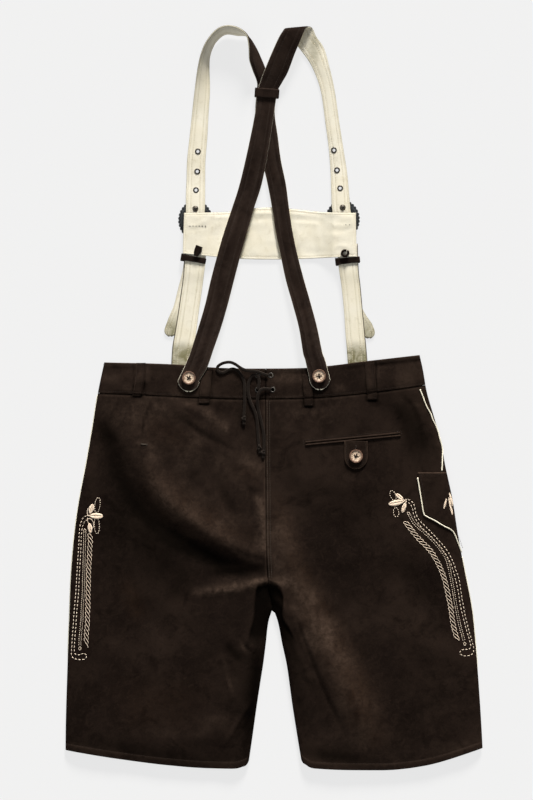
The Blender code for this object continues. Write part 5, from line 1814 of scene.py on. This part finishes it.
# %% [markdown]
# ## Eyelets and studs
# An eyelet is a brass tube with a rolled lip. Its section is drawn once, and the spin tool turns it
# round the middle. Spun rings can come out with their faces inwards, so doubles are merged and the
# normals recalculated. The two studs that hold the crossbar are spun in the same way.

# %% Spin a section
def spin_section(name, section, steps=32):
    """A turned piece; a section that doesn't reach the axis closes on itself."""
    mesh = bpy.data.meshes.new(name)
    count = len(section)
    links = [(i, i + 1) for i in range(count - 1)]
    if section[0][0] > 0:
        links.append((count - 1, 0))
    mesh.from_pydata([(r * MM, 0, z * MM) for r, z in section], links, [])
    piece = link_object(name, mesh)
    edit_all(piece, (bpy.ops.mesh.spin, {"steps": steps, "angle": 2 * math.pi,
                                         "center": (0, 0, 0), "axis": (0, 0, 1)}),
             (bpy.ops.mesh.remove_doubles, {"threshold": 0.00001}),
             (bpy.ops.mesh.normals_make_consistent, {"inside": False}))
    return piece


def eyelet_section(bottom):
    return [(2.45, bottom), (2.42, 0.55), (2.6, 0.85), (3.0, 1.05), (3.6, 1.1), (4.2, 0.95),
            (4.65, 0.62), (4.8, 0.25), (4.6, 0.12), (3.0, 0.12), (3.0, bottom)]


STRAP_EYELET = spin_section("strap_eyelet", eyelet_section(-2.4))
WAIST_EYELET = spin_section("waist_eyelet", eyelet_section(-2.5))
STUD = spin_section("stud", [(0, 1.75), (0.9, 1.72), (1.9, 1.5), (2.8, 1.05), (3.35, 0.5),
                             (3.4, 0.1), (2.3, 0.0), (2.0, -0.3), (2.0, -5.2), (0, -5.2)], 28)


def set_metal(model, name, place, node, rubbed=1.0, towards=None):
    """Sets an eyelet or stud; a bright lip, worn clear all round or a painted glint `towards` one
    angle.
    """
    piece = place_copy(model, name, place)
    offset = np.array([vertex.co for vertex in piece.data.vertices]) / MM - place
    far = np.linalg.norm(offset[:, :2], axis=1)
    clear = np.clip(1.1 - abs(far - 3.4) / 1.5, 0, 1) * (offset[:, 2] > 0.3) * rubbed
    if towards is not None:
        around = np.arctan2(offset[:, 1], offset[:, 0])
        clear = clear * smoothstep(0.1, 0.9, np.cos(around - towards))
    paint(piece, "ring", clear)
    piece.data.shade_smooth()
    own(piece, "old_brass", node)


for name, places in EYELET_PLACES.items():
    for number, (x, y, z) in enumerate(places, 1):
        node = f"{name}_eyelet_{number}"
        set_metal(STRAP_EYELET, f"{node}_brass", (x, y, z + HALF_STACK + 0.1), node, 0.6)
for name, (x, y) in WAIST_EYELETS.items():
    node = f"waist_eyelet_{name}"
    z = float(back_height(x, y)) + BAND_TOP + 0.1
    # A painted glint on one side of each waistband eyelet's lip: strong on the right pair, faint on
    # the left.
    shown = 0.8 if name.endswith("right") else 0.1
    set_metal(WAIST_EYELET, f"{node}_brass", (x, y, z), node, shown, 0.1)
for side, strap in (("left", "strap_b"), ("right", "strap_a")):
    x, y, z = EYELET_PLACES[strap][-1]
    set_metal(STUD, f"stud_{side}_brass", (x, y, z + HALF_STACK + 2 * GAP + 0.65), f"stud_{side}")
for model in (STRAP_EYELET, WAIST_EYELET, STUD):
    bpy.data.objects.remove(model)

# %% [markdown]
# ## Stitches
# Thread shows as short bars with a gap between them, each pulled into the leather at both ends.
# One stitch is modelled from a five-sided cylinder, cut once across so that its middle can stand
# up. Every seam is made of copies of it, joined in one mesh for each part of the garment.

# %% Model one stitch
def model_stitch():
    bpy.ops.object.select_all(action="DESELECT")
    bpy.ops.mesh.primitive_cylinder_add(vertices=5, radius=1, depth=1, rotation=(0, math.pi / 2, 0))
    stitch = bpy.context.object
    bpy.ops.object.transform_apply(location=False, rotation=True, scale=False)
    edit_all(stitch, *[(bpy.ops.mesh.bisect, {"plane_co": (place, 0, 0), "plane_no": (1, 0, 0)})
                       for place in (-0.27, 0.27)])
    for vertex in stitch.data.vertices:
        if abs(vertex.co.x) > 0.4:
            vertex.co.y *= 0.7
            vertex.co.z = vertex.co.z * 0.7 - 0.85
    points = np.array([vertex.co for vertex in stitch.data.vertices])
    faces = [list(face.vertices) for face in stitch.data.polygons]
    bpy.data.objects.remove(stitch)
    return points, faces


STITCH_POINTS, STITCH_FACES = model_stitch()
print("stitch", len(STITCH_POINTS), "points", len(STITCH_FACES), "faces")

# %% Sewing
class Sewing:
    """Stitches gathered for one piece."""

    def __init__(self):
        self.points, self.faces, self.count = [], [], 0

    def stitches(self, start, end, up, radius):
        """One stitch from each start to each end, standing along `up`."""
        start, end, up = (np.asarray(a, float) for a in (start, end, up))
        along = end - start
        long = np.linalg.norm(along, axis=1, keepdims=True)
        along = along / np.maximum(long, 1e-6)
        upward = unit(up - (up * along).sum(axis=1, keepdims=True) * along, 1e-6)
        across = np.cross(upward, along)
        middle = (start + end) / 2
        x, y, z = STITCH_POINTS.T
        points = (middle[:, None] + along[:, None] * (x[None, :, None] * long[:, :, None])
                  + across[:, None] * (y * radius)[None, :, None]
                  + upward[:, None] * (z * radius)[None, :, None])
        for place in points:
            self.faces += [[self.count + i for i in face] for face in STITCH_FACES]
            self.count += len(STITCH_POINTS)
            self.points.append(place)

    def line(self, path, up, pitch, share=0.72, radius=0.34):
        """A running stitch along a path, with the normals `up` at its points."""
        joined = np.hstack([path, up])
        along = run_along(joined[:, :3])
        count = max(1, int(along[-1] / pitch))
        step = along[-1] / count
        starts = (np.arange(count) + (1 - share) / 2) * step
        begin, end = (read_rows(marks, along, joined) for marks in (starts, starts + share * step))
        self.stitches(begin[:, :3], end[:, :3], begin[:, 3:], radius)

    def thread(self, path, up, radius):
        """A laid thread: a five-sided tube along a path."""
        path, up = np.asarray(path, float), np.asarray(up, float)
        across = unit(np.cross(up, unit(np.gradient(path, axis=0), 1e-9)), 1e-9)
        angles = np.arange(5) * 2 * math.pi / 5 + math.pi / 2
        thick = np.full(len(path), float(radius))
        thick[0] = thick[-1] = radius * 0.5
        rings = (path[:, None] + across[:, None] * (np.cos(angles)[None, :, None]
                                                    * thick[:, None, None])
                 + up[:, None] * (np.sin(angles)[None, :, None] * thick[:, None, None]))
        base = self.count
        self.faces += tube_faces(len(path), 5, base)
        self.faces.append([base + j for j in range(5)])
        self.faces.append([base + (len(path) - 1) * 5 + j for j in range(5)][::-1])
        self.points.append(rings.reshape(-1, 3))
        self.count += len(path) * 5

    def piece(self, name, finish):
        own(link_mesh(name, np.vstack(self.points), self.faces), finish)
        print(name, len(self.faces), "faces")


def upright(count):
    """Normals of a level path."""
    return np.tile([0.0, 0, 1], (count, 1))


def on_face(height, places, lift):
    """A dense path on a height function, with its normals, from places in x and y."""
    dense = spread(smooth_path([(x, y, 0) for x, y in places], 8), 1.5)
    return put_on(height, dense[:, 0], dense[:, 1], lift)


# %% [markdown]
# Most seams are sewn in dark brown thread that nearly vanishes on the suede: the centre seam, both
# hems, both edges of the waistband, the loops, the pocket's frame and the tab.

# %% Seams of the trousers
def hem_line(side, above):
    low, high = (-327, -44) if side == "left" else (48, 327)
    x = np.linspace(low, high, 40)
    return np.column_stack([x, read_curve(HEMS[side], x) + above])


trouser_seams, hem_seams = Sewing(), Sewing()
y = np.linspace(-3, -287, 60)
centre_x = read_curve(MIDDLE, y, 1)
for off in (2.6, 6.5):
    trouser_seams.line(*put_on(panel_height, centre_x + off, y, 0.1), 3.8)
for side in ("left", "right"):
    hem_seams.line(*on_face(panel_height, hem_line(side, 10.6), 0.02), 3.8, radius=0.28)
for level in (-72.0, -73.3):
    x = np.linspace(-213, -202, 7)
    trouser_seams.thread(*put_on(panel_height, x, level - (x + 213) * 0.12, 0.5), 0.6)
trouser_seams.piece("sewing_back", "seam_thread")
hem_seams.piece("sewing_hems", "brown_thread")

band_seams = Sewing()
for low_x, high_x in ((-278, -14.5), (-11.5, 240)):
    x = np.linspace(low_x, high_x, 90)
    for table, off in ((BAND_SEAM, 3.2), (WAIST, -3.4)):
        inset = x + (4.0 if low_x < -100 and off < 0 else 0)
        if off < 0 and low_x > -100:
            inset = np.minimum(x, 232)
        band_seams.line(*put_on(band_top, inset, read_curve(table, inset) + off, 0.1), 3.8)
for loop in BELT_LOOPS.values():
    x_top, y_top, x_low, y_low, width = loop
    v = np.linspace(0.02, 0.98, 30)
    face = lambda a, b, loop=loop: loop_face(a, b, loop)
    for off in (-width / 2 + 2.6, width / 2 - 2.6):
        x, y = x_low + (x_top - x_low) * v + off, y_low + (y_top - y_low) * v
        band_seams.line(*put_on(face, x, y, 0.02), 3.4, radius=0.26)
    for v0 in (0.05, 0.95):
        x = x_low + (x_top - x_low) * v0 + np.linspace(-width / 2 + 1.5, width / 2 - 1.5, 12)
        y = np.full(12, y_low + (y_top - y_low) * v0)
        band_seams.line(*put_on(face, x, y, 0.02), 2.0, 0.8, 0.26)
band_seams.piece("sewing_waistband", "brown_thread")

# %% Seams of the pockets
pocket_seams = Sewing()
FRAME_START, FRAME_END, FRAME_OFF = -2, WELT_LENGTH + 2, 5.6
t = np.linspace(0, 1, 40)
for (a0, u0), (a1, u1) in (((FRAME_START, FRAME_OFF), (FRAME_END, FRAME_OFF)),
                           ((FRAME_START, -FRAME_OFF), (FRAME_END, -FRAME_OFF)),
                           ((FRAME_START, -FRAME_OFF), (FRAME_START, FRAME_OFF)),
                           ((FRAME_END, -FRAME_OFF), (FRAME_END, FRAME_OFF))):
    x, y = welt_place(a0 + (a1 - a0) * t, u0 + (u1 - u0) * t)
    keep = ~((abs(x - TAB_MIDDLE) < TAB_HALF + 1) & (u0 < 0) & (u1 < 0))
    for part in (keep & (x < TAB_MIDDLE), keep & (x >= TAB_MIDDLE)):
        if part.sum() > 2:
            pocket_seams.line(*put_on(panel_height, x[part], y[part], 0.1), 3.2)
TAB_SEAM = 15.3  # from the tab's middle to its stitches
angles, sides_y = np.linspace(0, math.pi, 40), np.linspace(-72, -93, 12)
off = np.concatenate([np.full(12, -TAB_SEAM), -TAB_SEAM * np.cos(angles), np.full(12, TAB_SEAM)])
y = np.concatenate([sides_y, TAB_ROUND_FROM - 15.4 * np.sin(angles), sides_y[::-1]])
pocket_seams.line(*put_on(tab_face, TAB_MIDDLE + off, y, 0.1), 3.2)
y = np.linspace(-122.2, -240, 60)
pocket_seams.line(*put_on(knife_face, read_curve(KNIFE_EDGE, y) + 4.5, y, 0.1), 3.4)
top_x = np.linspace(233, 272, 20)
pocket_seams.line(*put_on(knife_face, top_x, np.full(20, -122.0), 0.1), 3.4)
pocket_seams.piece("sewing_pockets", "brown_thread")

# %% [markdown]
# The braces are sewn right through, so each seam shows on both faces: brown on the suede, ecru on
# the cream. Two rows run near the edges and two nearer the middle.

# %% Seams of the braces
def strap_lines(rows, side, sewing):
    """The four rows of stitches along one face of a strap."""
    left, right, normal = strap_path(rows, 6)
    long = run_along((left + right) / 2)
    width = np.linalg.norm(right - left, axis=1)
    keep = width > 14
    for line in LINES:
        for share in (line, 1 - line):
            relief = strap_relief(np.full(len(width), share), width, long)
            lift = HALF_STACK + 0.05 + np.minimum(relief, 0.25)
            path = left + (right - left) * share + normal * (side * (lift + 0.12))[:, None]
            sewing.line(path[keep], normal[keep] * side, 3.9, 0.7, 0.3)


dark_rows, cream_rows = Sewing(), Sewing()
for rows in (*FULL_ROWS.values(), LOWER_LEFT, LOWER_RIGHT):
    strap_lines(rows, 1, dark_rows)
    strap_lines(rows, -1, cream_rows)
for low_x, high_x, level in ((-137, -107, 276), (112, 124, 278)):
    x = np.linspace(low_x, high_x, 12)
    z = read_curve(BAR_HEIGHT, x) + HALF_STACK + 0.35
    dark_rows.line(np.column_stack([x, np.full(12, level), z]), upright(12), 4.6, 0.42, 0.5)
dark_rows.piece("sewing_braces_brown", "brown_thread")


def bar_line(u, v):
    """A row of stitches on the lining of the bar; u and v are shares along and across it."""
    u, v = np.broadcast_arrays(u, v)
    x, y = bar_place(u, v)
    z = read_curve(BAR_HEIGHT, x) + HALF_STACK
    z = z + np.minimum(bar_relief(u, v, x, y), 1.2)
    cream_rows.line(np.column_stack([x, y, z + 0.12]), upright(len(x)), 3.9, 0.7, 0.3)


for v in (0.045, 0.955):
    bar_line(np.linspace(0.012, 0.988, 120), v)
for u in (0.013, 0.987):
    bar_line(u, np.linspace(0.06, 0.94, 40))
cream_rows.piece("sewing_braces_ecru", "ecru_thread")

# %% [markdown]
# Buttons are held by a cross of thread through their four holes. Above the pocket's button, two
# short threads close the end of the buttonhole.

# %% Button threads
crosses = Sewing()
for (x, y, z), turn in BUTTONS.values():
    for dx, dy in ((1, 1), (1, -1)):
        for off in (-0.35, 0.35):
            t = np.linspace(0, 1, 7)
            run = 2.5 - 5.0 * t
            path_x, path_y = turned(dx * run - off * dy, dy * run + off * dx, turn)
            rise = 2.1 + 1.3 * np.sin(math.pi * t) ** 0.5 + (0.35 if dy < 0 else 0)
            crosses.thread(np.column_stack([path_x + x, path_y + y, z + rise]), upright(7), 0.46)
for off in (-0.7, 0.7):
    y = np.linspace(-80.5, -74.5, 5)
    crosses.thread(*put_on(tab_face, np.full(5, TAB_MIDDLE + off), y, 0.25), 0.4)
crosses.piece("button_threads", "brown_thread")

# %% [markdown]
# ## Embroidery
# Each outer side carries a band of white-work in beige silk, which is traditional on such breeches:
# a double running stitch that turns back on itself, a chain beside it, a rope, and at the top a
# small sprig of satin-stitch leaves with two loops. Three stitches make all of it. A leaf is laid
# with short threads that meet in a vein, the chain is pairs of slanted stitches, and the rope is a
# row of hooked threads that lie over each other.

# %% Embroidery places
SPRAY_RIGHT = {
    "run": [(207.6, -163), (212.3, -161.1), (218.2, -163), (223.4, -168.9), (225.3, -177.2),
            (227.2, -185.4), (232.4, -194.9), (240.6, -203.1), (250.1, -212.5), (260.7, -224.3),
            (271.3, -236.1), (279.5, -247.9), (285.4, -259.7), (291.3, -276.2), (296.1, -290.4),
            (298.4, -306.9), (301.5, -325.8), (305.5, -347), (311.4, -370.6), (318, -393),
            (319.6, -401.3), (317.3, -408.8), (309, -411.6), (300.8, -410.7), (296.8, -406),
            (300.8, -401.7), (309, -401.5), (314.5, -398.9), (313.3, -389.5), (307.8, -370.6),
            (302.2, -349.4), (297.7, -330.5), (294.4, -309.3), (290.9, -292.7), (287.3, -278.6),
            (282.4, -264.4), (276.5, -252.6), (268.2, -239.7), (258.8, -229.1), (247, -216.8),
            (236.4, -206.7), (228.8, -197.2), (223.4, -186.6), (221.5, -177.2), (218.2, -169.6),
            (213.5, -165.8), (207.6, -165.8)],
    "chain": [(215.9, -185.4), (223.4, -198.9), (232.4, -207.4), (244.2, -217.3), (254.8, -227.9),
              (265.4, -240.9), (274.4, -253.8), (279.5, -269.2), (283.1, -288), (286.6, -306.9),
              (289.7, -325.8), (293.2, -344.6), (297.2, -363.5), (301.2, -377.7), (304.5, -390.6)],
    "rope": [(209.4, -196.4), (217.7, -207.8), (225.3, -217.3), (234.7, -227.9), (244.2, -236.8),
             (252.4, -246.8), (259.5, -258.5), (265.4, -270.3), (270.6, -283.3), (274.8, -298.6),
             (278.4, -315.2), (281.9, -331.7), (284.3, -348.2), (286.6, -362.3), (290.2, -376.5),
             (293.2, -387.1)],
    "leaves": [(183.3, -169.1, 207.4, -164.4, 9.4), (195, -152.6, 206.2, -161.8, 6.8),
               (210, -166.8, 205, -182.6, 6.6)],
    "stems": [[(206, -164.2), (212, -163.4)], [(212.3, -164.4), (208.8, -168.2), (209.8, -172)],
              [(205, -161), (210, -163.6)]],
    "loops": [(190.1, -155, 4.2, 8.2, 0.35), (195.1, -181.9, 4.3, 7.6, 0.1)],
}
SPRAY_LEFT = {
    "run": [(-293.1, -187.1), (-297.9, -187.1), (-303.7, -189.6), (-307.5, -195.4), (-310, -204),
            (-311.4, -217.4), (-311.9, -230.9), (-312.9, -246.2), (-313.9, -261.6), (-314.8, -277),
            (-315.8, -292.3), (-316.7, -307.7), (-317.7, -319.2), (-319, -334.6), (-320, -348),
            (-320.8, -361.4), (-321.9, -374.9), (-322.9, -388.3), (-323.8, -401.8), (-324, -410.4),
            (-321, -415.2), (-310.4, -417.9), (-301.8, -416.2), (-299.3, -411.8), (-303.7, -407.5),
            (-310.4, -409.5), (-316.2, -410.2), (-319.2, -405.6), (-319, -394.1), (-318.2, -382.6),
            (-317.1, -369.1), (-316.2, -355.7), (-315.2, -340.3), (-313.7, -325), (-312.3, -309.6),
            (-311.7, -294.2), (-310.8, -278.9), (-310, -263.5), (-309.1, -250.1), (-308.5, -236.6),
            (-308.1, -223.2), (-306.9, -209.8), (-304.6, -200.2), (-300.8, -195.4), (-296.6, -193.1)],
    "chain": [(-302.3, -212.6), (-302.7, -227), (-303.1, -242.4), (-303.5, -259.7), (-303.9, -277),
              (-304.4, -292.3), (-304.6, -307.7), (-305.6, -323), (-306.6, -338.4), (-306.9, -353.8),
              (-308.5, -369.1), (-310, -384.5), (-310.4, -397.9)],
    "rope": [(-294.3, -216.3), (-293.5, -229), (-294.5, -240.5), (-294.8, -253.9), (-296, -269.3),
             (-296.6, -284.6), (-296.6, -300), (-297.3, -313.4), (-297.3, -328.8), (-297.9, -344.2),
             (-298.1, -357.6), (-299.3, -371), (-300.2, -384.5), (-300.8, -398)],
    "leaves": [(-273.4, -188.2, -294.5, -187.4, 10), (-289.6, -168.9, -294, -184, 7.8),
               (-294.9, -199.6, -292.9, -215.4, 7.2)],
    "stems": [[(-294, -187.4), (-299.5, -187.3)],
              [(-297.9, -191.7), (-292, -193.1), (-288.5, -198.6), (-288.9, -205.2),
               (-291.2, -208.2)],
              [(-297.9, -190.6), (-297.6, -196.5), (-295.6, -200.6)],
              [(-297.4, -187.6), (-298.4, -180.6), (-296.4, -175)]],
    "loops": [(-282.2, -170.4, 4.2, 12.2, -0.12), (-283.1, -203, 3.9, 13.4, 0.05)],
}
SPRIG_POCKET = [(280.2, -150.7, 285.6, -171.6, 3.2), (275.5, -160.2, 271.2, -176.4, 3.2),
                (282.6, -172.7, 285.0, -186.1, 3.0), (279.2, -158.4, 283.0, -179.0, 3.0)]
print("leaves", len(SPRAY_RIGHT["leaves"]) + len(SPRAY_LEFT["leaves"]) + len(SPRIG_POCKET))

# %% Embroidery stitches
def flat_path(places, step=0.8):
    """A fine path in x and y, its heading and its sideways direction."""
    fine = spread(smooth_path([(x, y, 0) for x, y in places], 8), step)[:, :2]
    heading = unit(np.gradient(fine, axis=0), 1e-9)
    return fine, heading, np.stack([-heading[:, 1], heading[:, 0]], axis=1)


LAID = []


def lay(places, lift, radius):
    """Notes one thread through places in x and y, raised by `lift` at each."""
    LAID.append((np.asarray(places, float), np.asarray(lift, float), radius))


def lay_all(sewing, height):
    """Makes all noted threads. The height is read once for all of them, which is quick."""
    every = np.vstack([places for places, _, _ in LAID])
    path, normal = put_on(height, every[:, 0], every[:, 1], 0.0)
    path = path + normal * np.concatenate([lift for _, lift, _ in LAID])[:, None]
    start = 0
    for places, _, radius in LAID:
        end = start + len(places)
        sewing.thread(path[start:end], normal[start:end], radius)
        start = end
    LAID.clear()


def lay_leaf(leaf):
    """Satin stitch: threads slant from both edges into a vein, over a padded middle."""
    tip_x, tip_y, base_x, base_y, width = leaf
    tip, base = np.array([tip_x, tip_y]), np.array([base_x, base_y])
    long = np.linalg.norm(tip - base)
    axis = unit(tip - base)
    side = np.array([-axis[1], axis[0]])
    count = int(long / 0.72)
    for i in range(count):
        t = (i + 0.5) / count
        half = width / 2 * math.sin(math.pi * t ** 0.9) ** 0.5
        ahead = min(0.45 * half, (1 - t) * long)
        for hand in (-1, 1):
            share = np.linspace(-0.06, 1, 5)
            spots = base + axis * (t * long + ahead * (share - 0.3))[:, None]
            spots = spots + side * (hand * half * share)[:, None]
            crown = 0.35 + 1.0 * np.sin(math.pi * np.clip(share * 0.86 + 0.10, 0, 1)) ** 0.7
            lay(spots, crown * min(1, half / 2.6), 0.47)


def sew_chain(sewing, height, places):
    """Pairs of slanted stitches, closed by a small loop at both ends."""
    fine, heading, side = flat_path(places)
    marks = np.arange(2, len(fine) - 4, 4)
    for hand in (-1, 1):
        start = fine[marks] + side[marks] * hand * 1.95
        end = fine[marks + 2] + side[marks + 2] * hand * 1.15
        a, up = put_on(height, start[:, 0], start[:, 1], 0.45)
        b, _ = put_on(height, end[:, 0], end[:, 1], 0.45)
        sewing.stitches(a, b, up, 0.42)
    for at, way in ((0, -1), (len(fine) - 1, 1)):
        turn = np.linspace(0, 2 * math.pi, 11)
        ring = (fine[at] + way * heading[at] * (1.6 - 2.6 * np.cos(turn))[:, None]
                + side[at] * (1.9 * np.sin(turn))[:, None])
        lay(ring, np.full(11, 0.45), 0.42)


def lay_rope(places, hook, pitch=7.0, step=0.5):
    """Hooked threads that lie over each other; `hook` is how far each one reaches along."""
    fine, _, side = flat_path(places, step)
    numbers = np.arange(len(fine))
    t = np.linspace(-1, 1, 13)
    for at in np.arange(0, len(fine) - 1, pitch / step):
        index = np.clip(at + t * hook / step, 0, len(fine) - 1)
        where, hand = read_rows(index, numbers, fine), read_rows(index, numbers, side)
        spots = where + hand * (3.5 * np.sin(2.05 * t))[:, None]
        lay(spots, 0.36 + 0.5 * (0.5 + 0.5 * t), 0.43)


def sew_run(sewing, height, places, pitch, share, radius):
    """A running stitch through places in x and y."""
    fine, _, _ = flat_path(places)
    sewing.line(*put_on(height, fine[:, 0], fine[:, 1], 0.35), pitch, share, radius)


def loop_places(x, y, wide, high, turn):
    """An oval round x and y."""
    angle = np.linspace(0, 2 * math.pi, 25)
    across, along = turned(wide * np.sin(angle), high * np.cos(angle), turn)
    return list(zip(x + across, y + along))


def sew_spray(name, spray, hook):
    silk = Sewing()
    sew_run(silk, panel_height, spray["run"], 6.0, 0.62, 0.55)
    sew_chain(silk, panel_height, spray["chain"])
    lay_rope(spray["rope"], hook)
    for leaf in spray["leaves"]:
        lay_leaf(leaf)
    for stem in spray["stems"]:
        fine, _, _ = flat_path(stem)
        lay(fine, np.full(len(fine), 0.4), 0.5)
    for loop in spray["loops"]:
        sew_run(silk, panel_height, loop_places(*loop), 3.6, 0.66, 0.5)
    lay_all(silk, panel_height)
    silk.piece(name, "beige_thread")


sew_spray("embroidery_right", SPRAY_RIGHT, 9.0)
sew_spray("embroidery_left", SPRAY_LEFT, 8.4)
sprig = Sewing()
for leaf in SPRIG_POCKET:
    lay_leaf(leaf)
lay_all(sprig, knife_face)
sprig.piece("embroidery_pocket", "beige_thread")

# %% Sizes and finish
size = {"cad": cad_box, "visual": [list(corner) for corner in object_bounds()]}
print("box of the visual model", np.round(size["visual"], 4).tolist())
